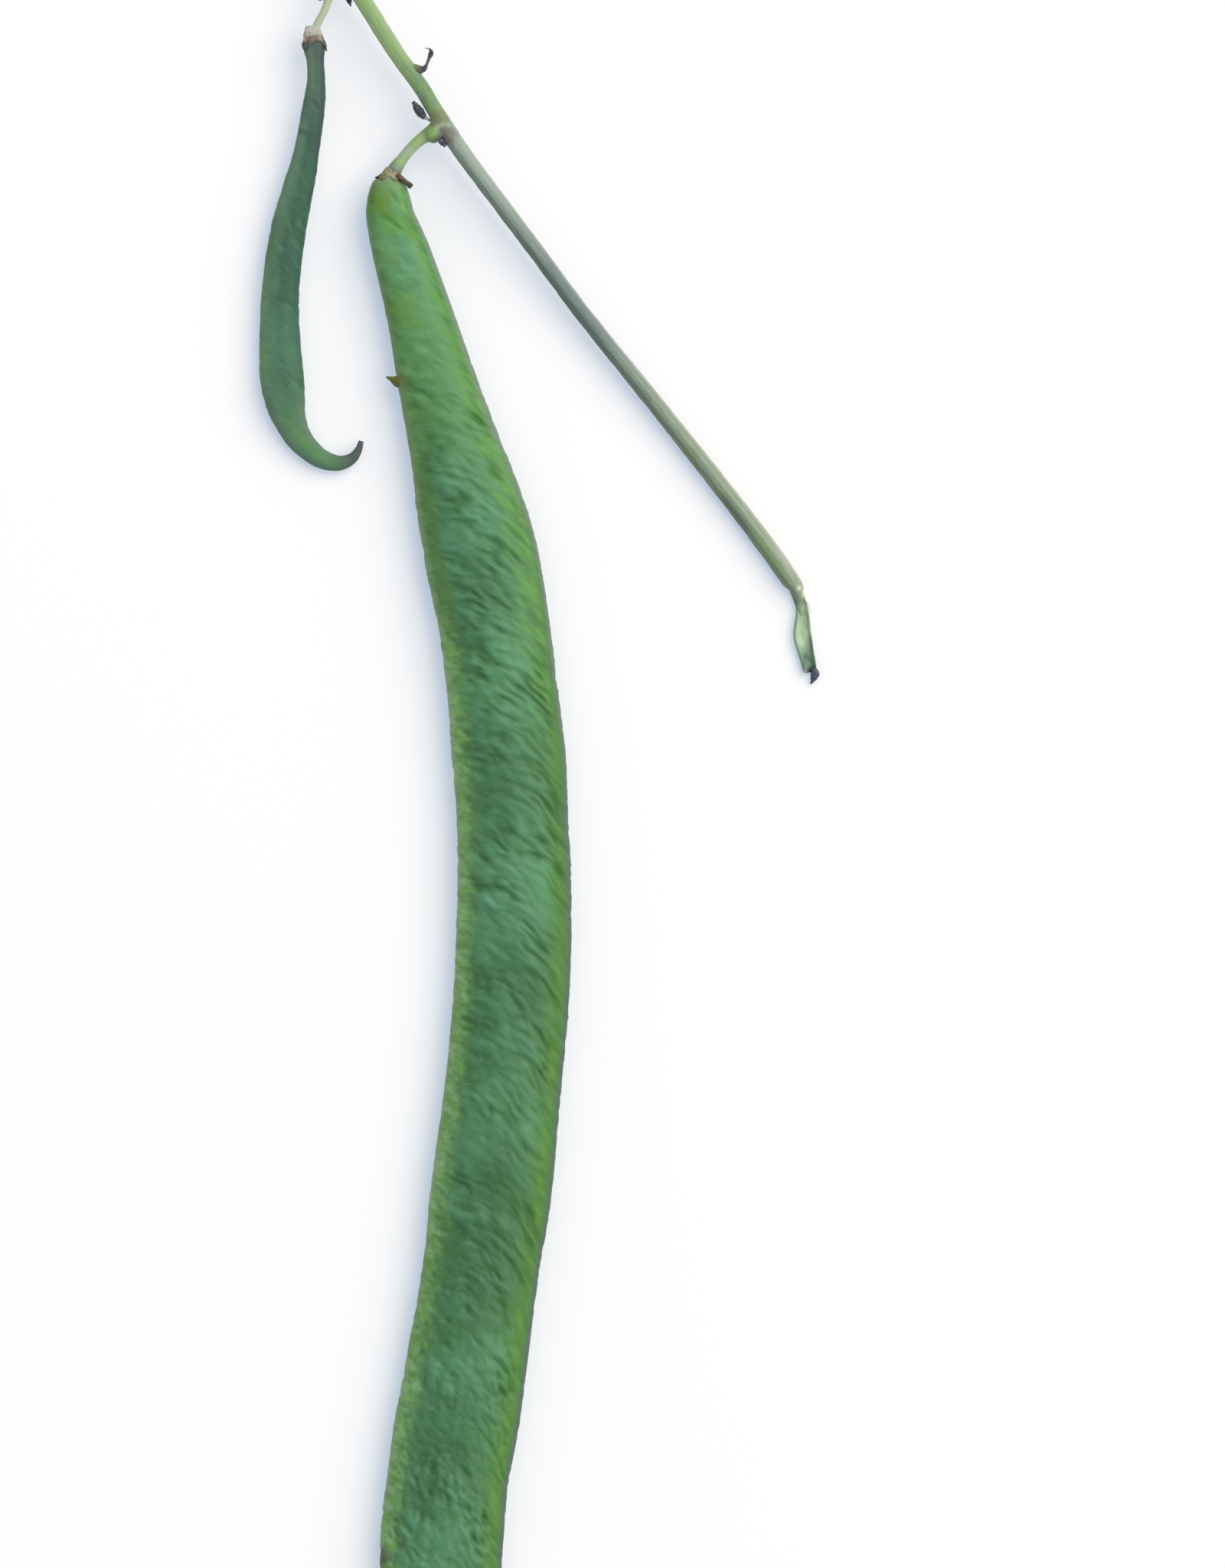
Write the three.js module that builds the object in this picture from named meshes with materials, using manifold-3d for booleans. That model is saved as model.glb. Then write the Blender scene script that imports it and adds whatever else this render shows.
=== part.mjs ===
// A picked truss of runner beans lying on a table: one full-grown flat pod and one small
// hooked pod, each on its own short pedicel, grow from one stalk. The dry remains of the
// flowers are still on it: a calyx round the neck of each pod, a curled flower stem, a bud
// and three bracts. The stalk was pulled off the plant, so its lower end is torn.
// Millimetres, +Z up, table top at z = 0. +Y runs from the long pod's beak to its neck.

import * as THREE from "three";
import { mergeVertices } from "three/addons/utils/BufferGeometryUtils.js";
import Module from "manifold-3d";

const wasm = await Module();
wasm.setup();

// Middle line of each pod, [x, y, z] from the neck to the tip of the beak
const LONG_POD_LINE = [
  [-25.6, 116.4, 4.9],
  [-26.1, 113.0, 4.8],
  [-25.8, 108.5, 4.6],
  [-24.2, 103.4, 4.4],
  [-20.8, 91.9, 4.25],
  [-17.8, 80.3, 4.2],
  [-14.7, 68.7, 4.15],
  [-11.7, 57.1, 4.15],
  [-9.2, 45.3, 4.15],
  [-6.5, 27.5, 4.15],
  [-4.9, 9.6, 4.15],
  [-4.3, -6.0, 4.15],
  [-4.8, -26.3, 4.15],
  [-7.1, -50.2, 4.15],
  [-10.1, -74.1, 4.15],
  [-13.7, -97.8, 4.15],
  [-15.7, -109.6, 4.15],
  [-17.0, -123.0, 4.15],
  [-16.9, -139.0, 4.15],
  [-15.6, -150.0, 4.2],
  [-13.3, -158.5, 4.3],
  [-10.3, -164.3, 4.6],
  [-6.8, -167.6, 5.0],
];
const SMALL_POD_LINE = [
  [-39.3, 140.0, 5.4],
  [-38.9, 135.8, 5.0],
  [-38.8, 132.0, 4.6],
  [-39.4, 125.5, 4.1],
  [-41.0, 117.4, 3.5],
  [-43.6, 107.0, 3.0],
  [-45.0, 97.0, 2.7],
  [-45.2, 89.0, 2.5],
  [-44.8, 80.7, 2.4],
  [-43.9, 75.2, 2.3],
  [-42.5, 71.4, 2.1],
  [-40.4, 68.7, 1.9],
  [-37.8, 66.8, 1.7],
  [-35.0, 66.1, 1.7],
  [-32.8, 66.8, 1.9],
  [-31.6, 68.2, 2.2],
  [-31.0, 69.9, 2.5],
];

// [distance from the neck, size]: half the width seen from above, and half the thickness
const LONG_POD_HALF_WIDTH = [
  [0, 1.3], [0.9, 2.1], [2, 2.95], [5, 3.75], [13, 4.8], [25, 5.6], [37, 6.65], [49, 7.7],
  [61, 9.2], [70, 9.7], [92, 9.4], [103, 9.7], [116, 9.5], [136, 9.85], [160, 9.9], [181, 10.3],
  [194, 9.9], [222, 10.55], [230, 10.3], [242, 10.5], [254, 9.8], [264, 8.4], [273, 6.2],
  [280, 3.9], [286, 2.0], [291, 1.1], [297, 0.6],
];
const LONG_POD_HALF_THICK = [
  [0, 1.2], [0.9, 1.9], [2, 2.6], [5, 3.2], [13, 3.6], [41, 3.8], [71, 3.9], [246, 3.9],
  [264, 3.4], [273, 2.7], [280, 2.0], [286, 1.4], [291, 1.0], [297, 0.6],
];
const SMALL_POD_HALF_WIDTH = [
  [0, 1.4], [1.0, 1.65], [2.2, 1.6], [4, 1.42], [7, 1.55], [10, 1.85], [14, 2.0], [18, 2.05],
  [26, 2.6], [34, 3.0], [46, 3.22], [54, 3.52], [59.5, 3.75], [64, 3.4], [68, 2.65], [72, 2.1], [76, 1.8],
  [79, 1.6], [82, 1.1], [84, 0.7], [86, 0.35],
];
const SMALL_POD_THICK_SHARE = 0.72;

// A pod's section is a superellipse: at 2 an ellipse, above it a flatter, boxier form. Its
// sides crowd towards the two edges, where it bends most
const SECTION_POWER = 2.4;
const SIDE_CROWDING = 0.3;
const LONG_POD_SIDES = 20;
const SMALL_POD_SIDES = 14;
// Along each edge runs a seam: two raised strings with a groove between them
const SEAM_RISE = 0.35;
const SMALL_SEAM_RISE = 0.12;
const SEAM_HALF_ANGLE = 0.32;
const GROOVE_SHARE = 0.75;
const GROOVE_NARROWNESS = 16;

// The seeds lift both faces of the long pod in low, wide bulges
const SEEDS_AT = [52, 90, 127, 165, 208, 241];
const SEED_LENGTH = 11;
const SEED_SPREAD = 0.6;
const SEED_RISE = 0.55;

// Wrinkles cross a pod aslant: nearly level at the left seam, steep at the right one
const WRINKLE_STEP = 3.1;
const WRINKLE_RISE = 0.17;
const SMALL_WRINKLE_STEP = 3.4;
const SMALL_WRINKLE_RISE = 0.05;
const WRINKLE_SEED = 11;
// How unevenly wrinkles are spaced, as a share of a step, and the lowest and highest of them
const WRINKLE_JITTER = 0.2;
const WRINKLE_HEIGHTS = [0.45, 1.35];
// How far a wrinkle runs along the pod on its way across, in half widths: the shares of the
// run that grow evenly and by the fourth power
const WRINKLE_RUN = [0.8, 0.6];
// How much of a wrinkle's height also shows at the pod's outline
const WRINKLE_AT_OUTLINE = 0.3;
// Wrinkles and seed bulges fade out over this share of the section next to each seam
const FACE_SHARE = 0.4;
const NECK_ROW = 0.9;
// The skin is smooth over the last stretch before each beak's tip, and wrinkles start and
// stop to lean over a stretch at each end
const LONG_POD_SMOOTH_END = { length: 24, step: 2 };
const SMALL_POD_SMOOTH_END = { length: 26, step: 1.5 };
const LONG_POD_LEAN = { startsOver: 25, stopsBefore: 48 };
const SMALL_POD_LEAN = { startsOver: 12, stopsBefore: 40 };
const LEAN_ENDS_AT = 0.8;
const END_DOME = 0.2;

// A small scab stands out of the long pod's left seam
const SCAB = { root: [-23.6, 80.9, 4.1], tip: [-26.8, 81.2, 4.4], radius: 0.75 };

// Stalk, from its torn lower end to the withered tip above the small pod
const STALK_LINE = [
  [45.0, 43.9, 1.65],
  [42.1, 48.2, 1.75],
  [38.3, 53.4, 1.8],
  [33.5, 59.7, 1.9],
  [20.9, 75.6, 2.4],
  [7.75, 91.9, 3.3],
  [-0.2, 102.5, 4.3],
  [-6.7, 111.1, 5.1],
  [-13.2, 119.8, 5.8],
  [-17.5, 126.3, 6.2],
  [-20.2, 130.8, 6.4],
  [-24.7, 137.1, 6.7],
  [-30.6, 146.4, 6.9],
  [-35.0, 153.2, 6.8],
  [-38.2, 160.0, 6.4],
  [-39.4, 168.4, 5.9],
];
const STALK_RADIUS = [
  [0, 1.3], [2, 1.55], [6, 1.65], [20, 1.58], [60, 1.42], [90, 1.44], [98, 1.5], [106, 1.4],
  [131, 1.45], [138, 1.05], [146, 0.7], [153, 0.4],
];
const STALK_SIDES = 12;
const RIB_SHARE = 0.05;
const PEDICEL_SIDES = 8;
const STALK_ROW = 4;
const PEDICEL_ROW = 2;
const LONG_PEDICEL = {
  line: [
    [-18.4, 123.6, 6.1], [-20.7, 122.1, 6.0], [-22.5, 120.4, 5.7], [-24.3, 118.2, 5.3],
    [-25.2, 116.9, 5.1],
  ],
  radius: [[0, 1.45], [2.4, 1.08], [6, 1.02], [7.8, 1.08], [9.2, 1.35]],
};
const SMALL_PEDICEL = {
  line: [
    [-33.9, 149.0, 6.9], [-36.2, 147.2, 6.8], [-37.2, 144.8, 6.4], [-38.3, 142.8, 5.9],
    [-38.9, 141.5, 5.6],
  ],
  radius: [[0, 1.3], [2.8, 0.85], [6, 0.7], [9, 0.75]],
};
// Swollen cushions where the pedicels grow, and two scars of dropped flowers nearer the tip
const CUSHIONS = [
  { at: [-18.4, 123.0, 6.5], size: [1.45, 1.5, 1.55] },
  { at: [-17.1, 125.0, 6.3], size: [1.85, 1.9, 1.6] },
  { at: [-34.4, 148.8, 6.9], size: [2.0, 2.0, 1.7] },
  { at: [-37.1, 155.4, 6.7], size: [1.3, 1.3, 1.1] },
  { at: [-38.6, 161.4, 6.3], size: [1.0, 0.9, 0.9] },
];
const BRACTS = [
  { root: [-16.4, 121.6, 5.6], tip: [-17.3, 119.6, 5.0] },
  { root: [-33.3, 147.4, 6.6], tip: [-32.8, 145.5, 6.2] },
  { root: [-36.5, 147.2, 6.8], tip: [-38.3, 146.5, 7.0] },
];
const BRACT_RADIUS = 0.6;
// The skin of the torn end reaches furthest on the right
const TORN_STUB = {
  line: [[44.3, 46.0, 1.7], [45.3, 44.9, 1.6], [46.1, 43.8, 1.4]],
  radius: [[0, 0.95], [1.5, 0.85], [2.8, 0.5]],
};
const SCALE_SIDES = 6;
// A strip of skin that came away with the stalk, narrow at its root and wide below, and
// its shrivelled corner
const TORN_STRIP = {
  line: [
    [44.2, 45.4, 1.6], [45.2, 42.9, 1.4], [45.9, 40.3, 1.15], [45.95, 36.1, 0.9], [46.5, 33.3, 0.8],
    [47.0, 31.2, 0.75], [47.3, 29.6, 0.8],
  ],
  halfWidth: [[0, 1.3], [2.5, 1.25], [5, 1.2], [9.5, 1.75], [13, 1.5], [15.5, 1.3], [16.6, 1.0]],
};
const STRIP_HALF_THICK = 0.35;
const STRIP_CURL = 0.45;
const STRIP_ROWS = 12;
const STRIP_SIDES = 8;
const STRIP_CORNER = { root: [47.7, 30.3, 0.85], tip: [47.3, 27.4, 0.85], radius: 0.75 };

// A calyx is a thin cup round a pod's neck: how far it reaches back over the pedicel and
// forward over the pod, and its lobes as [direction seen from the pedicel, length, stand-off]
const LONG_CALYX = {
  back: 1.9,
  front: 0.5,
  wall: 0.35,
  lobes: [[0.1, 1.6, 0.75], [1.4, 0.7, 0.05], [2.7, 0.6, 0.05], [3.6, 0.8, 0.1], [5.0, 0.7, 0.05]],
};
const SMALL_CALYX = {
  back: 1.9,
  front: 0.7,
  wall: 0.4,
  lobes: [[0.1, 1.9, 0.5], [1.6, 0.7, 0.05], [3.0, 1.2, 0.3], [4.5, 0.7, 0.05]],
};
// Its bell behind the neck, as [share of the way back, size against the neck]
const CALYX_BELL = [[1, 0.65], [0.5, 0.9], [0.1, 1]];
const CALYX_SIDES = 20;
const LOBE_HALF_TURN = 0.42;
// Its wall at the root of the lobes, and at their tips, against the stated wall
const CALYX_WALL_SHARES = [1.2, 0.7];

// Dry flower remains that stand off the stalk
const CURLED_STEM = {
  line: [
    [-21.3, 133.4, 6.6], [-20.3, 134.5, 6.9], [-19.5, 135.1, 7.1], [-18.9, 136.0, 7.4],
    [-18.6, 136.9, 7.7], [-19.0, 137.7, 7.9], [-19.6, 137.8, 8.0],
  ],
  radius: [[0, 1.35], [1.4, 1.05], [2.5, 0.55], [3.6, 0.35], [4.6, 0.42], [5.6, 0.28], [6.3, 0.2]],
};
const DRY_BUD = {
  line: [
    [-18.6, 125.5, 6.0], [-19.9, 125.9, 6.1], [-20.6, 126.8, 6.2], [-21.1, 127.6, 6.3],
    [-21.6, 128.6, 6.4],
  ],
  radius: [[0, 0.35], [1.3, 0.42], [2.4, 0.75], [3.4, 0.72], [4.4, 0.35]],
};

const WITHERED_SIDES = 6;
const CURLED_STEM_ROW = 0.6;
const DRY_BUD_ROW = 0.8;

// Clear space between the nodes
const FIT_GAP = 0.3;
const TABLE_SPAN = 600;
const ROOM_HEIGHT = 80;

// Small seeded random draw, 0 to 1, the same at each run
function seededDraw(seed) {
  let state = seed;
  return () => {
    state = (state * 1664525 + 1013904223) % 4294967296;
    return state / 4294967296;
  };
}

// A smooth value at any distance, through a few [distance, value] stations
function through(stations) {
  const slopeAt = (i) => {
    const a = stations[Math.max(0, i - 1)];
    const b = stations[Math.min(stations.length - 1, i + 1)];
    return (b[1] - a[1]) / (b[0] - a[0]);
  };
  return (distance) => {
    let i = 0;
    while (i < stations.length - 2 && distance > stations[i + 1][0]) i += 1;
    const [d0, v0] = stations[i];
    const [d1, v1] = stations[i + 1];
    const t = THREE.MathUtils.clamp((distance - d0) / (d1 - d0), 0, 1);
    const ease = t * t * (3 - 2 * t);
    const bow = t * (1 - t) * (d1 - d0);
    return v0 + (v1 - v0) * ease + bow * ((1 - t) * slopeAt(i) - t * slopeAt(i + 1));
  };
}

function curveThrough(line) {
  const points = line.map((point) => new THREE.Vector3(...point));
  const curve = new THREE.CatmullRomCurve3(points, false, "centripetal");
  curve.arcLengthDivisions = 600;
  return curve;
}

// Point, sideways and upward directions of a curve at a distance along it
function stationOn(curve, distance) {
  const share = THREE.MathUtils.clamp(distance / curve.getLength(), 0, 1);
  const at = curve.getPointAt(share);
  const ahead = curve.getTangentAt(share);
  const side = new THREE.Vector3(0, 0, 1).cross(ahead).normalize();
  const up = new THREE.Vector3().crossVectors(ahead, side);
  return { at, ahead, side, up };
}

// Moves each vertex of a closed cylinder to where place(row, angle, rim) puts it: rim is 1
// on the wall and 0 at the middle of an end
function shapedCylinder(sides, rows, place) {
  const geometry = new THREE.CylinderGeometry(1, 1, 1, sides, rows);
  const points = geometry.getAttribute("position");
  const vertex = new THREE.Vector3();
  for (let i = 0; i < points.count; i += 1) {
    vertex.fromBufferAttribute(points, i);
    const row = Math.round((0.5 - vertex.y) * rows);
    const rim = Math.round(Math.hypot(vertex.x, vertex.z));
    vertex.copy(place(row, Math.atan2(vertex.z, vertex.x), rim));
    points.setXYZ(i, vertex.x, vertex.y, vertex.z);
  }
  return geometry;
}

function solidFrom(geometry) {
  const bare = geometry.clone();
  bare.deleteAttribute("normal");
  bare.deleteAttribute("uv");
  const merged = mergeVertices(bare, 1e-4);
  return new wasm.Manifold(
    new wasm.Mesh({
      numProp: 3,
      vertProperties: new Float32Array(merged.getAttribute("position").array),
      triVerts: new Uint32Array(merged.index.array),
    }),
  );
}

function meshFrom(name, solid, material) {
  const { vertProperties, triVerts } = solid.getMesh();
  const geometry = new THREE.BufferGeometry();
  geometry.setAttribute("position", new THREE.BufferAttribute(new Float32Array(vertProperties), 3));
  geometry.setIndex(new THREE.BufferAttribute(new Uint32Array(triVerts), 1));
  geometry.computeVertexNormals();
  const mesh = new THREE.Mesh(geometry, material);
  mesh.name = name;
  return mesh;
}

// Keeps what is above the table, so a piece that rests on it gets flat spots
function aboveTable(solid) {
  const room = new THREE.BoxGeometry(TABLE_SPAN, TABLE_SPAN, ROOM_HEIGHT);
  return solid.intersect(solidFrom(room.translate(0, 0, ROOM_HEIGHT / 2)));
}

// How far along the pod, in half widths, a wrinkle has run when it is across, from -1 at
// the left seam to 1 at the right seam
function lean(across) {
  const t = (across + 1) / 2;
  const [even, fourth] = WRINKLE_RUN;
  const run = (share) => even * share + fourth * share ** 4;
  return run(t) - run(0.5);
}

// Rows of a wrinkled skin: a trough and a crest for each wrinkle, unevenly spaced, then
// plain rows over the smooth end
function wrinkleRows(length, { step, rise, seed }, smoothEnd) {
  const draw = seededDraw(seed);
  const jitter = () => WRINKLE_JITTER * step * (draw() - 0.5);
  const [lowest, highest] = WRINKLE_HEIGHTS;
  const rows = [{ distance: 0, lift: 0 }, { distance: NECK_ROW, lift: 0 }];
  const wrinkled = length - smoothEnd.length;
  for (let start = 0.7 * step; start < wrinkled; start += step) {
    const height = rise * (lowest + (highest - lowest) * draw());
    rows.push({ distance: start + jitter(), lift: -height });
    rows.push({ distance: start + step / 2 + jitter(), lift: height });
  }
  const from = rows.at(-1).distance;
  const plainRows = Math.round((length - from) / smoothEnd.step);
  for (let i = 1; i <= plainRows; i += 1) {
    rows.push({ distance: from + ((length - from) * i) / plainRows, lift: 0 });
  }
  return rows;
}

function seedBulge(distance, across) {
  let bulge = 0;
  for (const seed of SEEDS_AT) {
    const off = (distance - seed) / SEED_LENGTH;
    bulge += SEED_RISE * Math.exp(-off * off);
  }
  return bulge * Math.exp(-((across / SEED_SPREAD) ** 2));
}

// A pod's skin: the point at a distance along it and an angle round it
function podSkin({ line, halfWidth, halfThick, seamRise, bulge }) {
  const curve = curveThrough(line);
  const width = through(halfWidth);
  const thick = through(halfThick);
  const fullWidth = Math.max(...halfWidth.map(([, size]) => size));
  const roundness = 2 / SECTION_POWER;
  const sectionAt = (turn) => {
    const angle = turn - SIDE_CROWDING * Math.sin(2 * turn);
    const [c, s] = [Math.cos(angle), Math.sin(angle)];
    const across = Math.sign(c) * Math.abs(c) ** roundness;
    const rise = Math.sign(s) * Math.abs(s) ** roundness;
    const seamTurn = Math.asin(Math.min(1, Math.abs(s))) / SEAM_HALF_ANGLE;
    const groove = GROOVE_SHARE * Math.exp(-GROOVE_NARROWNESS * seamTurn ** 2);
    const seam = Math.exp(-(seamTurn ** 2)) - groove;
    return { across, rise, seam, face: Math.min(1, Math.abs(s) / FACE_SHARE) };
  };
  const point = (distance, turn, { rim = 1, lift = 0, grow = 0, endward = 0 } = {}) => {
    const { at, ahead, side, up } = stationOn(curve, distance);
    const { across, rise, seam, face } = sectionAt(turn);
    const seamHere = seamRise * (width(distance) / fullWidth) * seam;
    const wrinkle = lift * (1 - Math.abs(across) ** 6) * face;
    const swell = bulge ? bulge(distance, across) : 0;
    const outline = width(distance) + seamHere + WRINKLE_AT_OUTLINE * wrinkle + grow;
    const outward = outline * across * rim;
    const upward = (thick(distance) + wrinkle + swell + grow) * rise * rim;
    return at.addScaledVector(side, outward).addScaledVector(up, upward).addScaledVector(ahead, endward);
  };
  return { length: curve.getLength(), width, sectionAt, point };
}

function podSolid(pod, grow = 0) {
  const { sides, wrinkle, smoothEnd, leans, skin } = pod;
  const rows = wrinkleRows(skin.length, wrinkle, smoothEnd);
  const last = rows.length - 1;
  const stopFrom = skin.length - leans.stopsBefore;
  const stopAt = skin.length - LEAN_ENDS_AT * smoothEnd.length;
  return solidFrom(
    shapedCylinder(sides, last, (row, turn, rim) => {
      const { distance: middle, lift } = rows[row];
      const started = THREE.MathUtils.smoothstep(middle, 0, leans.startsOver);
      const leaning = started * (1 - THREE.MathUtils.smoothstep(middle, stopFrom, stopAt));
      const { across } = skin.sectionAt(turn);
      const distance = middle + skin.width(middle) * lean(across * rim) * leaning;
      const endward = (row === 0 ? -1 : row === last ? 1 : 0) * (grow + END_DOME * (1 - rim));
      return skin.point(distance, turn, { rim, lift: lift * leaning, grow, endward });
    }),
  );
}

// A stem that follows a line, with its radius through stations; ribs are raised edges along it
function limb({ line, radius, sides = PEDICEL_SIDES, step = PEDICEL_ROW, ribShare = 0 }, grow = 0) {
  const curve = curveThrough(line);
  const length = curve.getLength();
  const rows = Math.max(3, Math.round(length / step));
  const size = through(radius);
  return solidFrom(
    shapedCylinder(sides, rows, (row, turn, rim) => {
      const distance = (row / rows) * length;
      const { at, ahead, side, up } = stationOn(curve, distance);
      const ribbed = 1 + ribShare * Math.cos((turn * sides) / 2);
      const reach = (size(distance) * ribbed + grow) * rim;
      const endward = (row === 0 ? -1 : row === rows ? 1 : 0) * grow;
      return at
        .addScaledVector(side, reach * Math.cos(turn))
        .addScaledVector(up, reach * Math.sin(turn))
        .addScaledVector(ahead, endward);
    }),
  );
}

function cushion({ at, size }, grow = 0) {
  const ball = new THREE.SphereGeometry(1, 12, 8);
  return solidFrom(ball.scale(...size.map((radius) => radius + grow)).translate(...at));
}

// A pointed dry scale from its root to its tip
function scale({ root, tip, radius = BRACT_RADIUS }) {
  const from = new THREE.Vector3(...root);
  const along = new THREE.Vector3(...tip).sub(from);
  const cone = new THREE.ConeGeometry(radius, along.length(), SCALE_SIDES)
    .translate(0, along.length() / 2, 0);
  const turn = new THREE.Quaternion().setFromUnitVectors(new THREE.Vector3(0, 1, 0), along.normalize());
  return solidFrom(cone.applyQuaternion(turn).translate(...root));
}

function tornStrip({ line, halfWidth }) {
  const curve = curveThrough(line);
  const length = curve.getLength();
  const width = through(halfWidth);
  return solidFrom(
    shapedCylinder(STRIP_SIDES, STRIP_ROWS, (row, turn, rim) => {
      const distance = (row / STRIP_ROWS) * length;
      const { at, side, up } = stationOn(curve, distance);
      // Both edges curl up a little, as drying skin does
      const curl = STRIP_CURL * Math.cos(turn) ** 2 * rim;
      return at
        .addScaledVector(side, width(distance) * Math.cos(turn) * rim)
        .addScaledVector(up, STRIP_HALF_THICK * Math.sin(turn) * rim + curl);
    }),
  );
}

function stalkSolid(grow = 0) {
  const main = {
    line: STALK_LINE,
    radius: STALK_RADIUS,
    sides: STALK_SIDES,
    step: STALK_ROW,
    ribShare: RIB_SHARE,
  };
  const pieces = [
    limb(LONG_PEDICEL, grow),
    limb(SMALL_PEDICEL, grow),
    limb({ ...TORN_STUB, step: 0.7 }, grow),
    ...CUSHIONS.map((spot) => cushion(spot, grow)),
  ];
  if (grow === 0) pieces.push(...BRACTS.map(scale), tornStrip(TORN_STRIP), scale(STRIP_CORNER));
  return pieces.reduce((whole, piece) => whole.add(piece), limb(main, grow));
}

// A cup that follows the pod's own skin, from its root round the pedicel to its lobed mouth
function calyxSolid({ back, front, wall, lobes }, { skin }) {
  const lobeAt = (turn) => {
    let reach = 0;
    let stand = 0;
    for (const [middle, length, off] of lobes) {
      const away = Math.atan2(Math.sin(turn - middle), Math.cos(turn - middle)) / LOBE_HALF_TURN;
      reach += length * Math.exp(-away * away);
      stand += off * Math.exp(-away * away);
    }
    return { reach, stand };
  };
  const rows = CALYX_BELL.length + 2;
  const [thickRoot, thinTip] = CALYX_WALL_SHARES;
  return solidFrom(
    shapedCylinder(CALYX_SIDES, rows, (row, turn, rim) => {
      if (row < CALYX_BELL.length) {
        const [behind, size] = CALYX_BELL[row];
        return skin.point(0, turn, { rim: rim * size, grow: FIT_GAP + wall, endward: -behind * back });
      }
      const { reach, stand } = lobeAt(turn);
      const share = (row - CALYX_BELL.length + 1) / 3;
      const wallHere = wall * THREE.MathUtils.lerp(thickRoot, thinTip, share);
      const grow = FIT_GAP + wallHere + stand * share ** 2;
      return skin.point((front + reach * rim) * share, turn, { rim, grow });
    }),
  );
}

const podGreen = new THREE.MeshStandardMaterial({ color: 0x568a5e, roughness: 0.5, metalness: 0 });
const youngPodGreen = new THREE.MeshStandardMaterial({ color: 0x4e745e, roughness: 0.55, metalness: 0 });
const stalkGreen = new THREE.MeshStandardMaterial({ color: 0x8fa678, roughness: 0.6, metalness: 0 });
const calyxBrown = new THREE.MeshStandardMaterial({ color: 0x928c6c, roughness: 0.8, metalness: 0 });
const witheredDark = new THREE.MeshStandardMaterial({ color: 0x45423f, roughness: 0.85, metalness: 0 });

const longPod = {
  sides: LONG_POD_SIDES,
  wrinkle: { step: WRINKLE_STEP, rise: WRINKLE_RISE, seed: WRINKLE_SEED },
  smoothEnd: LONG_POD_SMOOTH_END,
  leans: LONG_POD_LEAN,
  skin: podSkin({
    line: LONG_POD_LINE,
    halfWidth: LONG_POD_HALF_WIDTH,
    halfThick: LONG_POD_HALF_THICK,
    seamRise: SEAM_RISE,
    bulge: seedBulge,
  }),
};
const smallPod = {
  sides: SMALL_POD_SIDES,
  wrinkle: { step: SMALL_WRINKLE_STEP, rise: SMALL_WRINKLE_RISE, seed: WRINKLE_SEED + 1 },
  smoothEnd: SMALL_POD_SMOOTH_END,
  leans: SMALL_POD_LEAN,
  skin: podSkin({
    line: SMALL_POD_LINE,
    halfWidth: SMALL_POD_HALF_WIDTH,
    halfThick: SMALL_POD_HALF_WIDTH.map(([distance, size]) => [distance, size * SMALL_POD_THICK_SHARE]),
    seamRise: SMALL_SEAM_RISE,
  }),
};
const stalkRoom = stalkSolid(FIT_GAP);
const clearOf = (solid, ...others) => others.reduce((left, other) => left.subtract(other), solid);

const curledStem = limb({ ...CURLED_STEM, sides: WITHERED_SIDES, step: CURLED_STEM_ROW });
const dryBud = limb({ ...DRY_BUD, sides: WITHERED_SIDES, step: DRY_BUD_ROW });

const truss = new THREE.Group();
truss.add(
  meshFrom("long_pod", aboveTable(podSolid(longPod).add(scale(SCAB))), podGreen),
  meshFrom("small_pod", aboveTable(podSolid(smallPod)), youngPodGreen),
  meshFrom("stalk", aboveTable(stalkSolid()), stalkGreen),
  meshFrom(
    "long_pod_calyx",
    clearOf(calyxSolid(LONG_CALYX, longPod), podSolid(longPod, FIT_GAP), stalkRoom),
    calyxBrown,
  ),
  meshFrom(
    "small_pod_calyx",
    clearOf(calyxSolid(SMALL_CALYX, smallPod), podSolid(smallPod, FIT_GAP), stalkRoom),
    calyxBrown,
  ),
  meshFrom("curled_flower_stem", clearOf(curledStem, stalkRoom), witheredDark),
  meshFrom("dry_bud", clearOf(dryBud, stalkRoom), witheredDark),
);

export default truss;
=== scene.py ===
# %% [markdown]
# # Runner beans, picked and laid down
#
# One full-grown flat pod and one small hooked pod hang from the same stalk, with the dry remains
# of their flowers. This lesson gives each of them the skin that the real ones have: wrinkles that
# run aslant over the pods, seams along both edges, ribs and scars on the stalk, papery calyxes.
# The measured shapes come first, as a frame that nothing here moves.

# %% The imported model
import math

import bmesh
import bpy
import numpy as np
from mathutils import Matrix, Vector


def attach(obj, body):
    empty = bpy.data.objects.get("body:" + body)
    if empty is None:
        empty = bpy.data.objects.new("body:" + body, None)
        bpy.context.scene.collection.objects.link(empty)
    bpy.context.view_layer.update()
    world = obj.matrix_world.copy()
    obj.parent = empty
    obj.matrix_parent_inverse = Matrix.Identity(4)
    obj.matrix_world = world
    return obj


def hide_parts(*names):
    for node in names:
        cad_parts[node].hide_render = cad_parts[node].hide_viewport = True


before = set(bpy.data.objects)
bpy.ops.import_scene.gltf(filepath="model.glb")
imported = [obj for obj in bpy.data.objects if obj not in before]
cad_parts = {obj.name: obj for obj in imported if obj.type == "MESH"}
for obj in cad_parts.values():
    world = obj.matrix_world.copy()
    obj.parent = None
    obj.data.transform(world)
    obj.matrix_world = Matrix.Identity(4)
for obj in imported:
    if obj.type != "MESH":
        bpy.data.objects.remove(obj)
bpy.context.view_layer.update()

MM = 0.001
print("nodes:", ", ".join(sorted(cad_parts)))

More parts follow.
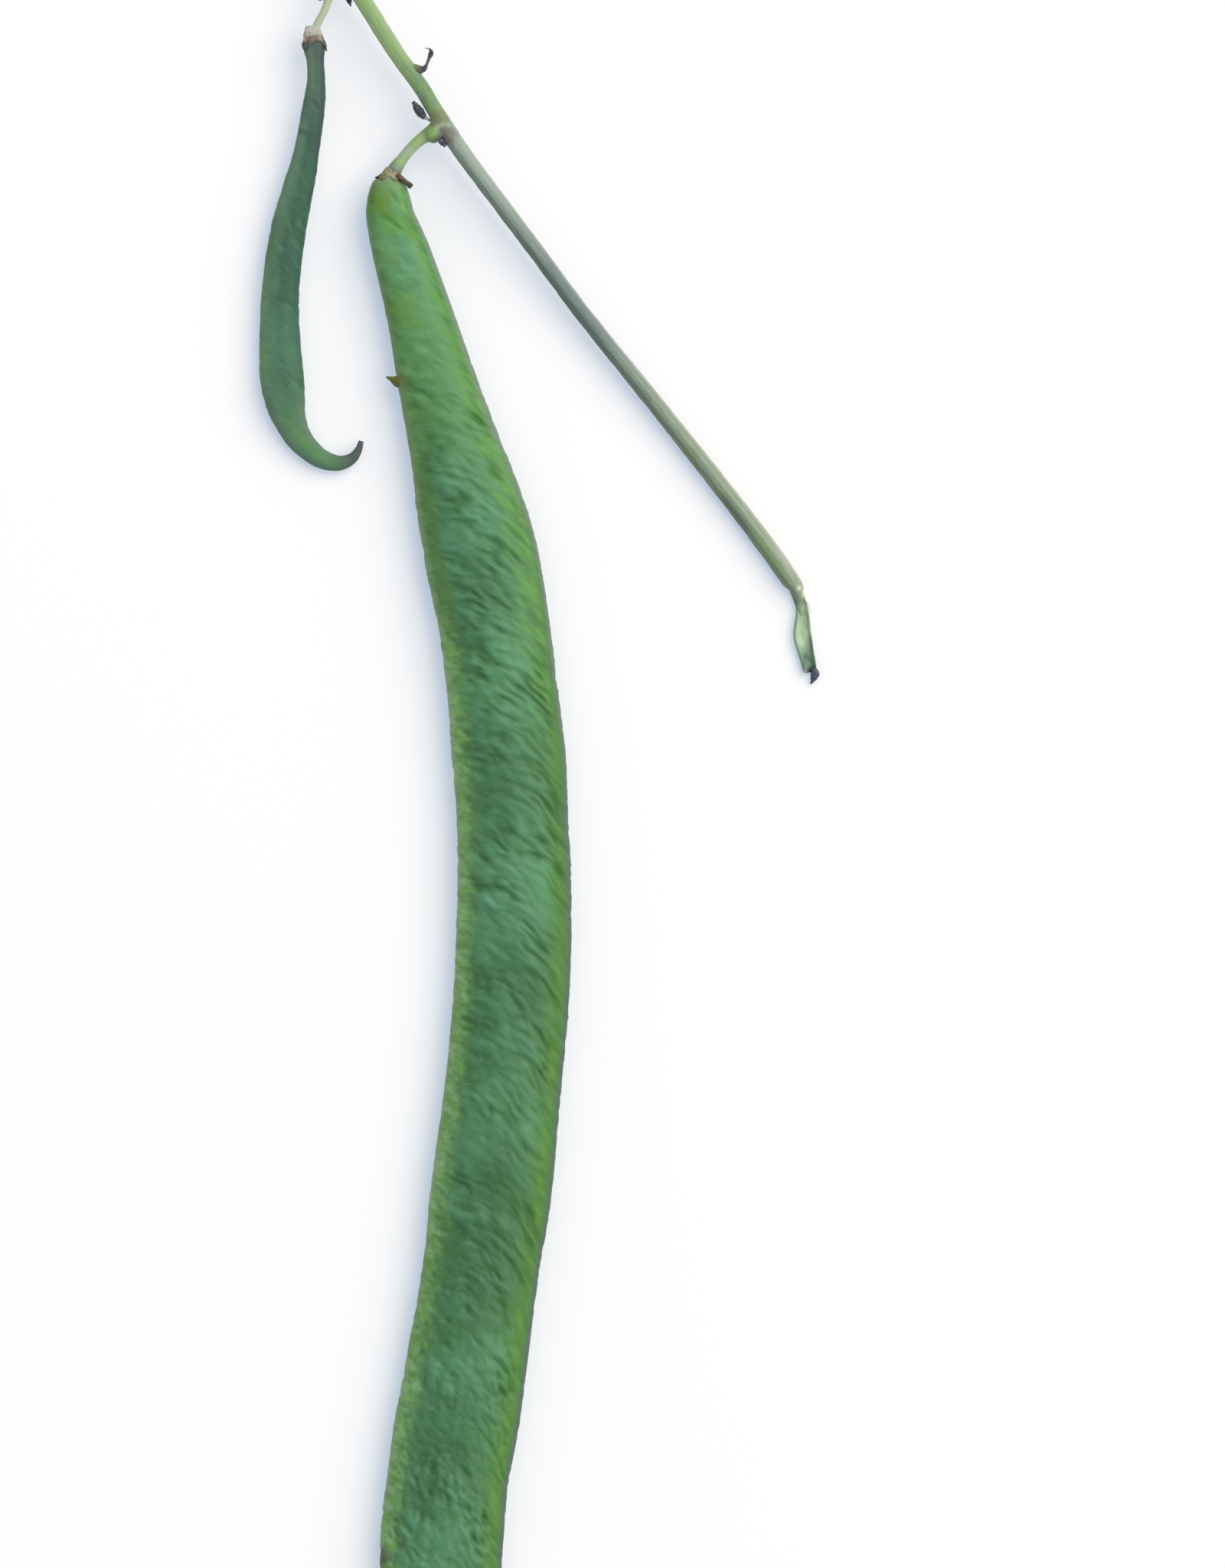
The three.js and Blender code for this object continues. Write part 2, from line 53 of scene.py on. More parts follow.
# %% [markdown]
# ## Where the eye is
#
# The beans lie on a table and are seen from straight above. A long lens keeps the edges upright.
# It is set back so far that the plane through the middle of the pods fills the picture exactly:
# 273 millimetres from top to bottom. The pod's beak and the tip of the stalk run out of the
# picture, as they would when someone frames the beans by eye.

# %% Camera
VIEW_MIDDLE = (12.8, 10.13, 4.15)
VIEW_HEIGHT = 273.07
LENS = 200
SENSOR = 36
CLIP_START, CLIP_END = 0.01, 20
bpy.ops.object.camera_add(rotation=(0, 0, 0))
camera = bpy.context.object
camera.name = "camera"
camera.data.sensor_width = SENSOR
camera.data.lens = LENS
camera.data.clip_start = CLIP_START
camera.data.clip_end = CLIP_END
standoff = VIEW_HEIGHT * LENS / SENSOR
x, y, z = VIEW_MIDDLE
camera.location = (x * MM, y * MM, (z + standoff) * MM)
bpy.context.scene.camera = camera
print(f"camera {standoff:.0f} mm above the pods")

# %% [markdown]
# ## Smooth lines through a few measurements
#
# Every long piece here is described in the same way: a middle line through a few points, and its
# width and thickness at a few distances along that line. Two small tools turn those into smooth
# values anywhere: one for numbers, one for lines in space. A line also knows which way is ahead,
# sideways and up at each place, so a shape can be laid along it.

# %% Smooth values and lines
def through(stations, at):
    """Smooth values at the distances `at`, through (distance, value) stations."""
    where, value = np.array(stations, float).T
    last = len(where) - 1
    before = np.maximum(np.arange(last + 1) - 1, 0)
    after = np.minimum(np.arange(last + 1) + 1, last)
    slope = (value[after] - value[before]) / (where[after] - where[before])
    i = np.clip(np.searchsorted(where, at, side="right") - 1, 0, last - 1)
    span = where[i + 1] - where[i]
    t = np.clip((at - where[i]) / span, 0, 1)
    ease = t * t * (3 - 2 * t)
    bow = t * (1 - t) * span * ((1 - t) * slope[i] - t * slope[i + 1])
    return value[i] + (value[i + 1] - value[i]) * ease + bow


def unit(vectors):
    return vectors / np.linalg.norm(vectors, axis=-1, keepdims=True)


def smoothstep(low, high, value):
    t = np.clip((value - low) / (high - low), 0, 1)
    return t * t * (3 - 2 * t)


class Line:
    """A smooth line through points in millimetres, measured by the distance along it."""

    STEPS = 4000

    def __init__(self, points):
        points = np.array(points, float)
        chord = np.concatenate([[0], np.cumsum(np.linalg.norm(np.diff(points, axis=0), axis=1))])
        fine = np.linspace(0, chord[-1], self.STEPS)
        stations = [np.stack([chord, axis], 1) for axis in points.T]
        self.path = np.stack([through(axis, fine) for axis in stations], 1)
        step = np.linalg.norm(np.diff(self.path, axis=0), axis=1)
        self.run = np.concatenate([[0], np.cumsum(step)])
        self.length = self.run[-1]
        self.ahead = unit(np.gradient(self.path, axis=0))
        self.side = unit(np.cross([0, 0, 1], self.ahead))
        self.up = np.cross(self.ahead, self.side)

    def read(self, values, distance):
        return np.stack([np.interp(distance, self.run, values[:, k]) for k in range(3)], -1)

    def stations(self, distance):
        """Point, sideways, upwards and ahead at each distance."""
        return [self.read(v, distance) for v in (self.path, self.side, self.up, self.ahead)]


long_pod_line = Line([
    (-25.6, 116.4, 4.9), (-26.1, 113.0, 4.8), (-25.8, 108.5, 4.6), (-24.2, 103.4, 4.4),
    (-20.8, 91.9, 4.25), (-17.8, 80.3, 4.2), (-14.7, 68.7, 4.15), (-11.7, 57.1, 4.15),
    (-9.2, 45.3, 4.15), (-6.5, 27.5, 4.15), (-4.9, 9.6, 4.15), (-4.3, -6.0, 4.15),
    (-4.8, -26.3, 4.15), (-7.1, -50.2, 4.15), (-10.1, -74.1, 4.15), (-13.7, -97.8, 4.15),
    (-15.7, -109.6, 4.15), (-17.0, -123.0, 4.15), (-16.9, -139.0, 4.15), (-15.6, -150.0, 4.2),
    (-13.3, -158.5, 4.3), (-10.3, -164.3, 4.6), (-6.8, -167.6, 5.0),
])
small_pod_line = Line([
    (-39.3, 140.0, 5.4), (-38.9, 135.8, 5.0), (-38.8, 132.0, 4.6), (-39.6, 125.5, 4.1),
    (-41.1, 117.4, 3.5), (-43.6, 107.0, 3.0), (-45.0, 97.0, 2.7), (-45.2, 89.0, 2.5),
    (-44.8, 80.7, 2.4), (-43.9, 75.2, 2.3), (-42.5, 71.4, 2.1), (-40.4, 68.7, 1.9),
    (-37.8, 66.8, 1.7), (-35.0, 66.1, 1.7), (-32.8, 66.8, 1.9), (-31.6, 68.2, 2.2),
    (-31.0, 69.9, 2.5),
])
print(f"long pod {long_pod_line.length:.0f} mm, small pod {small_pod_line.length:.0f} mm")

# %% [markdown]
# ## A material written as sums
#
# A finish here is mostly arithmetic: this much green where the skin is high, more brown near the
# seam. Wiring such sums by hand takes many nodes. One small class therefore wraps a socket, so
# that `1 - mask` or `mask * 0.4` adds the Math nodes by itself. Colours go through Mix nodes,
# because a Math node would turn them grey. Every other node comes from one method.

# %% Materials from expressions
class Wire:
    """A number that varies over a surface: one output socket, with arithmetic."""

    def __init__(self, finish, socket):
        self.finish = finish
        self.socket = socket

    def math(self, operation, *values):
        return self.finish.node("ShaderNodeMath", {"operation": operation}, dict(enumerate(values)))

    def pair(operation):
        """An operator and its reflected form, for a number on the left."""
        return (
            lambda self, other: self.math(operation, self, other),
            lambda self, other: self.math(operation, other, self),
        )

    __add__, __radd__ = pair("ADD")
    __sub__, __rsub__ = pair("SUBTRACT")
    __mul__, __rmul__ = pair("MULTIPLY")
    __truediv__, __rtruediv__ = pair("DIVIDE")

    def __abs__(self):
        return self.math("ABSOLUTE", self)

    def rise(self, low, high):
        """0 below low, 1 above high, and smooth between; low may be the greater."""
        inputs = {"Value": self, "From Min": low, "From Max": high}
        return self.finish.node("ShaderNodeMapRange", {"interpolation_type": "SMOOTHSTEP"}, inputs)

    def between(self, start, full, ebb, end):
        """1 from full to ebb, and 0 before start and past end."""
        return self.rise(start, full) * self.rise(end, ebb)


class Finish:
    """One procedural material. Its surface's own sockets are set to constants by name."""

    def __init__(self, name, **constants):
        self.material = bpy.data.materials.new(name)
        self.material.use_nodes = True
        self.tree = self.material.node_tree
        self.surface = self.tree.nodes["Principled BSDF"]
        for socket, value in constants.items():
            self.surface.inputs[socket.replace("_", " ")].default_value = value

    def node(self, kind, settings, inputs, output=0):
        """Adds a node: its settings first, then the values or links of its sockets."""
        made = self.tree.nodes.new(kind)
        for name, value in settings.items():
            setattr(made, name, value)
        for key, value in inputs.items():
            if isinstance(value, Wire):
                self.tree.links.new(value.socket, made.inputs[key])
            else:
                made.inputs[key].default_value = value
        return Wire(self, made.outputs[output])

    def attribute(self, name):
        settings = {"attribute_type": "GEOMETRY", "attribute_name": name}
        return self.node("ShaderNodeAttribute", settings, {}, "Fac")

    def attributes(self, names):
        return [self.attribute(name) for name in names.split()]

    def place(self):
        return self.node("ShaderNodeTexCoord", {}, {}, "Object")

    def noise(self, place, scale, detail=2, roughness=0.5):
        inputs = {"Vector": place, "Scale": scale, "Detail": detail, "Roughness": roughness}
        return self.node("ShaderNodeTexNoise", {}, inputs, "Fac")

    def flow_noise(self, *parts, detail=3, roughness=0.5):
        """Noise in a place made of three numbers, some of which vary over the surface."""
        place = self.node("ShaderNodeCombineXYZ", {}, dict(enumerate(parts)))
        return self.noise(place, 1, detail, roughness)

    def near(self, spot, inner, outer):
        """1 within `inner` millimetres of a spot, and 0 beyond `outer`."""
        spot = [value * MM for value in spot]
        away = self.node(
            "ShaderNodeVectorMath", {"operation": "DISTANCE"}, {0: self.place(), 1: spot}, "Value"
        )
        return away.rise(outer * MM, inner * MM)

    def mix(self, share, first, second):
        """From the first colour to the second as share goes from 0 to 1."""
        inputs = {0: share, 6: self.colour(first), 7: self.colour(second)}
        return self.node("ShaderNodeMix", {"data_type": "RGBA"}, inputs, 2)

    @staticmethod
    def colour(value):
        return value if isinstance(value, Wire) else (*value, 1)

    def paint(self, ground, coats):
        """Lays coats over a ground colour, one after the other. A coat is (share, colour)."""
        for share, colour in coats:
            ground = self.mix(share, ground, colour)
        return ground

    def feed(self, **wires):
        for socket, wire in wires.items():
            self.tree.links.new(wire.socket, self.surface.inputs[socket.replace("_", " ")])

    def close(self, colour, height, depth, **more):
        """Feeds the colour, and a relief of `depth` millimetres where height goes from 0 to 1."""
        inputs = {"Height": height, "Distance": depth * MM}
        relief = self.node("ShaderNodeBump", {}, inputs, "Normal")
        self.feed(Base_Color=colour, Normal=relief, **more)
        print(f"{self.material.name}: {len(self.tree.nodes)} nodes")
        return self


# %% [markdown]
# ## Working like a modeller
#
# A Blender operator acts on whatever is selected, so each piece starts with nothing selected. A
# few helpers cover what comes up again and again: start clean, apply a modifier, keep numbers on
# the vertices for a material to read, and put the piece on the body that it moves with.

# %% Helpers for pieces
def select_nothing():
    if bpy.context.object and bpy.context.object.mode != "OBJECT":
        bpy.ops.object.mode_set(mode="OBJECT")
    bpy.ops.object.select_all(action="DESELECT")


def select_only(piece):
    select_nothing()
    piece.select_set(True)
    bpy.context.view_layer.objects.active = piece


def apply_modifier(piece, kind, **settings):
    select_only(piece)
    bpy.ops.object.modifier_add(type=kind)
    modifier = piece.modifiers[-1]
    for name, value in settings.items():
        setattr(modifier, name, value)
    bpy.ops.object.modifier_apply(modifier=modifier.name)


def read_vertices(piece, what):
    flat = np.empty(len(piece.data.vertices) * 3, np.float32)
    piece.data.vertices.foreach_get(what, flat)
    return flat.reshape(-1, 3).astype(float)


def vertices_of(piece):
    """The places of a piece's vertices, in millimetres."""
    return read_vertices(piece, "co") / MM


def normals_of(piece):
    return read_vertices(piece, "normal")


def move_vertices(piece, places):
    piece.data.vertices.foreach_set("co", (places * MM).astype(np.float32).ravel())
    piece.data.update()


def keep_numbers(piece, **values):
    """Stores one number a vertex under each name, for the materials."""
    for name, numbers in values.items():
        kept = piece.data.attributes.new(name, "FLOAT", "POINT")
        kept.data.foreach_set("value", np.asarray(numbers, np.float32))


def lay(piece, line, distance, outward, upward, onward=0):
    """Moves each vertex to its distance along a line, then to the side, up and ahead of it."""
    at, side, up, ahead = line.stations(distance)
    moves = (side, outward), (up, upward), (ahead, onward)
    for way, far in moves:
        at = at + way * np.reshape(far, (-1, 1))
    move_vertices(piece, at)


def finish_piece(piece, name, finish, slot, *nodes):
    """Names a piece, gives it its material, and sets it on the body; its slot is not used."""
    select_only(piece)
    bpy.ops.object.transform_apply(location=True, rotation=True, scale=True)
    bpy.ops.object.shade_smooth()
    piece.name = name
    piece.data.name = name
    piece.data.materials.clear()
    piece.data.materials.append(finish.material)
    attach(piece, "root")
    if nodes:
        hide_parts(*nodes)
    faces = len(piece.data.polygons)
    size = vertices_of(piece).max(0) - vertices_of(piece).min(0)
    print(f"{name}: {faces} faces, {size[0]:.1f} x {size[1]:.1f} x {size[2]:.1f} mm")
    return piece


# %% [markdown]
# ## Smooth random heights
#
# Skin is never even. Random slopes at the corners of a grid, blended between the corners, give
# smooth hills and hollows with no grid to be seen. The draws are seeded, so each run gives the
# same ones.

# %% Random heights
def uneven(seed, u, v):
    """Smooth random heights, about -1 to 1, over a plane of unit cells."""
    rows, columns = 1024, 128
    tilt = np.random.default_rng(seed).uniform(0, 2 * np.pi, (rows, columns))
    slope_u, slope_v = np.cos(tilt), np.sin(tilt)
    i, j = np.floor(u).astype(int), np.floor(v).astype(int)
    s, t = u - i, v - j

    def corner(a, b):
        spot = (i + a) % rows, (j + b) % columns
        return slope_u[spot] * (s - a) + slope_v[spot] * (t - b)

    ease_s = s * s * s * (s * (6 * s - 15) + 10)
    ease_t = t * t * t * (t * (6 * t - 15) + 10)
    near_row = corner(0, 0) * (1 - ease_t) + corner(0, 1) * ease_t
    far_row = corner(1, 0) * (1 - ease_t) + corner(1, 1) * ease_t
    return 1.5 * (near_row * (1 - ease_s) + far_row * ease_s)


sample = uneven(1, *np.mgrid[0:20:0.1, 0:20:0.1])
print(f"random heights go from {sample.min():.2f} to {sample.max():.2f}")

# %% [markdown]
# ## A pod, from a plain tube
#
# A runner bean pod is a flat tube, pointed at both ends, with a seam along each edge. Rings
# extruded one by one would need hundreds of steps for a skin fine enough to wrinkle. Instead a
# cylinder is cut into many rows in edit mode, and each of its vertices is then moved to where the
# pod's line, width and thickness put it. Its sides are spread evenly round the section, closer
# together on the upper face and at the seams, where there is most to see. The seams are two raised
# strings with a groove between them.

# %% Tube and section
SECTION_POWER = 2.4
SECTION_RATIO = 2.5
UPPER_SHARE = 0.6
SEAM_CROWDING = 0.3
SEAM_HALF_ANGLE = 0.32
SEAM_GROOVE = 0.75


def cut_tube(sides, cuts, ends="TRIFAN"):
    """A cylinder whose long edges are cut into rows, once for each number in `cuts`."""
    select_nothing()
    bpy.ops.mesh.primitive_cylinder_add(vertices=sides, radius=1, depth=1, end_fill_type=ends)
    tube = bpy.context.object
    for count in cuts:
        bpy.ops.object.mode_set(mode="EDIT")
        bpy.ops.mesh.select_all(action="DESELECT")
        shape = bmesh.from_edit_mesh(tube.data)
        for edge in shape.edges:
            along = edge.verts[0].co - edge.verts[1].co
            edge.select_set(abs(along.z) > 0.5 * along.length)
        bmesh.update_edit_mesh(tube.data)
        bpy.ops.mesh.subdivide(number_cuts=count)
        bpy.ops.object.mode_set(mode="OBJECT")
    return tube


def rounded(angle):
    c, s = np.cos(angle), np.sin(angle)
    power = 2 / SECTION_POWER
    return np.sign(c) * np.abs(c) ** power, np.sign(s) * np.abs(s) ** power


def section(turn):
    """How far across, how high, and how much seam there is at an angle round a pod."""
    fine = np.linspace(-np.pi, np.pi, 4001)
    x, y = rounded(fine)
    step = np.hypot(np.diff(x) * SECTION_RATIO, np.diff(y))
    middle = (fine[1:] + fine[:-1]) / 2
    wanted = 1 + UPPER_SHARE * (middle > 0) + np.exp(-((np.sin(middle) / SEAM_CROWDING) ** 2))
    reached = np.concatenate([[0], np.cumsum(step * wanted)])
    right = np.interp(0, fine, reached)
    turned = np.mod(turn, 2 * np.pi) / (2 * np.pi) * reached[-1] + right
    angle = np.interp(np.mod(turned, reached[-1]), reached, fine)
    across, height = rounded(angle)
    s = np.sin(angle)
    seam_turn = np.arcsin(np.minimum(1, np.abs(s))) / SEAM_HALF_ANGLE
    seam = np.exp(-(seam_turn**2)) - SEAM_GROOVE * np.exp(-16 * seam_turn**2)
    return across, height, seam


def lay_pod(tube, line, half_width, half_thick, seam_rise, swell=None, nicks=()):
    """Moves a tube's vertices onto a pod's skin, and tells where each of them is on it."""
    x, y, z = (vertices_of(tube) * MM).T
    distance = (z + 0.5) * line.length
    rim = np.hypot(x, y)
    across, height, seam = section(np.arctan2(y, x))
    width, thick = through(half_width, distance), through(half_thick, distance)
    full = max(size for _, size in half_width)
    lift = swell(distance, across) if swell else 0
    nick = sum(deep * np.exp(-(((distance - spot) / length) ** 2)) for spot, deep, length in nicks)
    nick = nick * smoothstep(-0.85, -0.98, across)
    outward = (width + seam_rise * seam * width / full - nick) * across * rim
    lay(tube, line, distance, outward, (thick + lift) * height * rim)
    return {"along": distance, "across": across * rim, "height": height * rim, "width": width}


turns = np.linspace(0, 2 * np.pi, 128, endpoint=False)
print(f"{(section(turns)[1] > 0).sum()} of 128 sides go to the upper face")

# %% [markdown]
# ## Wrinkles that run aslant
#
# As a flat pod ripens, its skin puckers between the two seams. Each wrinkle starts nearly level
# at the left seam, and gets steeper until it runs almost along the right one. So the wrinkles are
# drawn in a place of their own: one coordinate counts across them and is bent by that slant, the
# other goes from seam to seam. Random hills are stretched along the slant, in four sizes, and
# summed: that makes folds whose edges are folded again. Where the sum is low, the skin is drawn in
# further, as a furrow. Some stretches of a pod are smoother than others, so one broad field turns
# the folds up and down. All this goes into the mesh, as moves along its normals, and how deep in a
# furrow or how high on a puff each place lies is kept for the colour.

# %% Wrinkled skin
WRINKLE_RUN = (0.6, 0.75)
FOLDS = [
    # cell across the fold, cell along it, both in mm, and its share
    (5.5, 8.5, 0.6),
    (2.5, 5.0, 0.75),
    (1.4, 3.1, 0.75),
    (0.85, 2.0, 0.5),
]
FOLD_RISE, FURROW_DEPTH = 0.17, 0.2
LOWER_FACE_SEED = 50


def slant(across):
    """How far along the pod a wrinkle has run, in half widths, from -1 left to 1 right."""
    even, fourth = WRINKLE_RUN
    run = lambda share: even * share + fourth * share**4
    return run((across + 1) / 2) - run(0.5)


def puckered(seed, flow, span, folds, broken):
    """Folded skin: its height in mm, how deep in a furrow each place is, and how high on a puff."""
    bent = flow + uneven(seed, flow / 6, span / 6) + 0.4 * uneven(seed + 1, flow / 1.9, span / 2.4)
    total = np.zeros_like(flow)
    for k, (cell, length, share) in enumerate(folds):
        drawn_out = uneven(seed + k + 2, bent / cell + 9 * k, span / length)
        round_ones = uneven(seed + k + 12, bent / cell + 9 * k, span / cell)
        total += share * (drawn_out * (1 - broken) + round_ones * broken)
    total /= 0.32 * math.hypot(*(share for _, _, share in folds))
    busy = 0.45 + 0.55 * smoothstep(-0.45, 0.3, uneven(seed + 9, flow / 12, span / 9))
    furrow = smoothstep(0.2, 1.9, -total) * busy
    puff = smoothstep(-0.3, 1.8, total) * busy
    return FOLD_RISE * total * busy - FURROW_DEPTH * furrow, furrow, puff


def wrinkle(piece, places, folds, seed, strength):
    """Wrinkles a skin, each face of the pod with a pattern of its own."""
    along, across, width = (places[name] for name in ("along", "across", "width"))
    flow = along - width * slant(across)
    span = across * width + 40
    share = smoothstep(-0.25, 0.25, places["height"])
    broken = 0.25 * smoothstep(120, 160, along) + 0.55 * smoothstep(185, 225, along)
    upper = puckered(seed, flow, span, folds, broken)
    lower = puckered(seed + LOWER_FACE_SEED, flow, span, folds, broken)
    lift, furrow, puff = (low * (1 - share) + high * share for low, high in zip(lower, upper))
    wrinkled = vertices_of(piece) + normals_of(piece) * (lift * strength)[:, None]
    wrinkled[:, 2] = np.maximum(wrinkled[:, 2], 0)  # it lies on the table, and not in it
    move_vertices(piece, wrinkled)
    furrow = furrow * np.minimum(1, strength)
    # furrow and puff carry painted shade into the furrows and a painted highlight onto the puffs
    keep_numbers(piece, along=along, across=across, flow=flow, span=span, furrow=furrow, puff=puff)


print(f"folds from {FOLDS[-1][0]} to {FOLDS[0][0]} mm across")

# %% [markdown]
# ## The long pod
#
# Six seeds lift its faces in low bulges. The wrinkles fade at the bright green neck and at the
# beak. The left edge has five small nicks where the skin healed. Some stretches of the skin are
# duller or brighter than the rest, and a number kept on the vertices says which.

# %% Long pod's shape
LONG_HALF_WIDTH = [
    (0, 1.3), (0.9, 2.1), (2, 2.95), (5, 3.75), (13, 4.8), (25, 5.6), (37, 6.65), (49, 7.7),
    (61, 9.2), (70, 9.7), (92, 9.4), (103, 9.7), (116, 9.5), (136, 9.85), (160, 9.9),
    (181, 10.3), (194, 9.9), (222, 10.55), (230, 10.3), (242, 10.5), (254, 9.8), (264, 8.4),
    (273, 6.2), (280, 3.9), (286, 2.0), (291, 1.1), (297, 0.6),
]
LONG_HALF_THICK = [
    (0, 1.2), (0.9, 1.9), (2, 2.6), (5, 3.2), (13, 3.6), (41, 3.8), (71, 3.9), (246, 3.9),
    (264, 3.4), (273, 2.7), (280, 2.0), (286, 1.4), (291, 1.0), (297, 0.6),
]
SEEDS_AT = [52, 90, 127, 165, 208, 241]
SEED_LENGTH, SEED_SPREAD, SEED_RISE = 11.0, 0.6, 0.55
DULL_AND_BRIGHT = [
    # middle and length of a stretch in mm, and how dull it is, or below 0, how bright
    (63, 4, -0.6), (79, 5, 0.35), (116, 5, 0.2), (126, 4, -0.5), (134, 5, -0.5), (147.5, 4.5, 0.65),
    (171, 5, -0.35), (190, 9, 0.6), (203, 5, 0.6), (209.5, 4, -0.5), (217.5, 5, -0.35),
    (243, 5, -0.5),
]
NICKS = [
    # place along the left edge, depth and length, in mm
    (65.5, 0.2, 1.1), (73.5, 0.2, 1.3), (79.0, 0.35, 3.2), (84.0, 0.2, 2.5), (106.0, 0.2, 1.1),
]
LONG_SEAM_RISE, LONG_SEED = 0.35, 11


def seeds_near(distance):
    """1 over the middle of a seed, and towards 0 between the seeds."""
    return np.exp(-(((distance[:, None] - SEEDS_AT) / SEED_LENGTH) ** 2)).sum(1)


def seed_bulge(distance, across):
    return SEED_RISE * seeds_near(distance) * np.exp(-((across / SEED_SPREAD) ** 2))


long_pod = cut_tube(sides=128, cuts=(29, 24))
on_pod = lay_pod(
    long_pod, long_pod_line, LONG_HALF_WIDTH, LONG_HALF_THICK, LONG_SEAM_RISE, seed_bulge, NICKS
)
distance, across = on_pod["along"], on_pod["across"]
ends = (0.5 + 0.5 * smoothstep(20, 75, distance)) * smoothstep(288, 262, distance)
ends *= 0.75 + 0.35 * seeds_near(distance)
edges = 1 - 0.5 * smoothstep(0.82, 0.97, np.abs(across))
wrinkle(long_pod, on_pod, FOLDS, LONG_SEED, ends * edges)
lean = 0.25 * on_pod["width"] * across
dull = sum(
    depth * np.exp(-(((distance + 2 * lean - spot) / length) ** 2))
    for spot, length, depth in DULL_AND_BRIGHT
)
keep_numbers(long_pod, seed=seeds_near(distance + lean), dull=dull)
print(f"{len(SEEDS_AT)} seeds, {len(NICKS)} nicks, wrinkles up to {ends.max():.2f} of full depth")

# %% [markdown]
# ## Skin of the long pod
#
# A finish is painted as by hand: a ground colour, then thin coats over it, each with a mask that
# says where it goes. The masks read the numbers kept on the vertices: how far along and across
# the pod a place lies, and how deep in a furrow or how high on a puff it is. Fine grain follows
# the wrinkles' own slant, since the bent coordinate that shaped them also places it. The middle
# of the pod is a deep, slightly blue green, paler over its seeds, with a painted highlight on its
# puffs. Painted light makes it paler towards its right side too, most of all in its upper half.

# %% Pod skin: its middle
skin = Finish("pod skin", Specular_IOR_Level=0.35)
along, across, flow, span = skin.attributes("along across flow span")
furrow, puff, seed, dull = skin.attributes("furrow puff seed dull")
grain = skin.flow_noise(flow / 0.5, span / 1.3, 0, roughness=0.65)
patches = skin.flow_noise(flow / 9, span / 11, 3)
mottle = skin.flow_noise(flow / 2.2, span / 3.5, 5)
speckle = skin.flow_noise(flow / 1.1, span / 1.5, 9, detail=2)
# painted light: paler towards the right side, where the light falls, fading down the pod
painted_light_side = across.rise(-0.75, 0.55) * (0.12 + along.rise(160, 70) * 0.88)
green = skin.mix(patches.rise(0.35, 0.65), (0.03, 0.108, 0.032), (0.046, 0.155, 0.058))
green = skin.paint(green, [
    ((seed * 0.6 + painted_light_side * 0.7).rise(0.15, 1.2) * 0.75, (0.09, 0.25, 0.1)),
    # painted highlight on the puffs
    (puff * 0.4, (0.105, 0.28, 0.155)),
    (grain.rise(0.4, 0.75) * 0.24, (0.1, 0.27, 0.13)),
    (across.rise(-0.5, -0.75) * 0.25, (0.13, 0.23, 0.055)),
    (across.rise(0.1, 0.45) * 0.25, (0.062, 0.19, 0.03)),
    (dull.rise(0, 1) * 0.5, (0.028, 0.1, 0.02)),
    (dull.rise(0, -1) * 0.4, (0.11, 0.3, 0.17)),
])

# %% [markdown]
# A band of yellower green runs next to each seam, narrow on the left and wide on the right. Its
# inner border is ragged: noise is added to the distance across before a mask is cut from it.

# %% Pod skin: the bands along the seams
edge = across + (patches - 0.5) * 0.3 + (mottle - 0.5) * 0.5
right = edge.rise(0.48, 0.9) * along.rise(12, 45)
left = (edge - (mottle - 0.5) * 0.15 + (speckle - 0.5) * 0.35).rise(-0.65, -0.97)
left_green = skin.mix(mottle.rise(0.35, 0.65), (0.178, 0.355, 0.09), (0.23, 0.415, 0.165))
bright = right * along.rise(110, 75) * (mottle.rise(0.35, 0.62) * 0.5 + 0.2)
green = skin.paint(green, [
    (right * 0.9, (0.07, 0.19, 0.024)),
    (bright, (0.14, 0.31, 0.075)),
    (left * (0.62 + along.rise(60, 95) * 0.33), left_green),
    # painted highlight: a pale line along the very left edge, all down the pod
    (across.rise(-0.94, -0.985) * 0.7, (0.27, 0.33, 0.19)),
    (dull.rise(0.1, 1) * across.rise(-0.5, -0.8) * 0.4, (0.07, 0.2, 0.05)),
])

# %% [markdown]
# The neck is fresher and yellower. Soft clouds of darker and paler green lie on it, a painted
# highlight lies on its left shoulder, and patches of plain green cross it aslant, as the
# wrinkles do.

# %% Pod skin: the neck
neck = along.rise(52, 30)
warm = along.between(15, 25, 42, 56)
# painted highlight on the left shoulder of the neck
painted_shoulder_shine = along.between(5, 9, 14, 21) * across.rise(0.1, -0.4)
upper_patch = abs(flow + (mottle - 0.5) * 4 - 8.5).rise(3.4, 1.4) * across.rise(0.95, 0.5)
upper_patch = upper_patch * across.rise(-0.6, -0.1)
lower_patch = abs(flow + (mottle - 0.5) * 5 - 25).rise(6, 1) * across.rise(0.2, -0.3) * 0.6
rim_patch = across.between(0.4, 0.65, 0.78, 0.92) * along.between(15, 22, 75, 100)
green = skin.paint(green, [
    (along.rise(50, 24) * across.rise(0.85, 0.4) * 0.65, (0.11, 0.29, 0.125)),
    (along.rise(24, 12) * across.rise(0.25, 0.6) * 0.8, (0.12, 0.29, 0.065)),
    (mottle.rise(0.48, 0.3) * neck * 0.6, (0.055, 0.19, 0.055)),
    (mottle.rise(0.48, 0.65) * neck * across.rise(0.5, 0.1) * 0.4, (0.15, 0.36, 0.18)),
    (warm * (0.14 + mottle * 0.24), (0.11, 0.265, 0.028)),
    (painted_shoulder_shine * 0.3, (0.2, 0.36, 0.09)),
    (upper_patch * 0.85, (0.083, 0.25, 0.035)),
    (lower_patch, (0.115, 0.24, 0.035)),
])
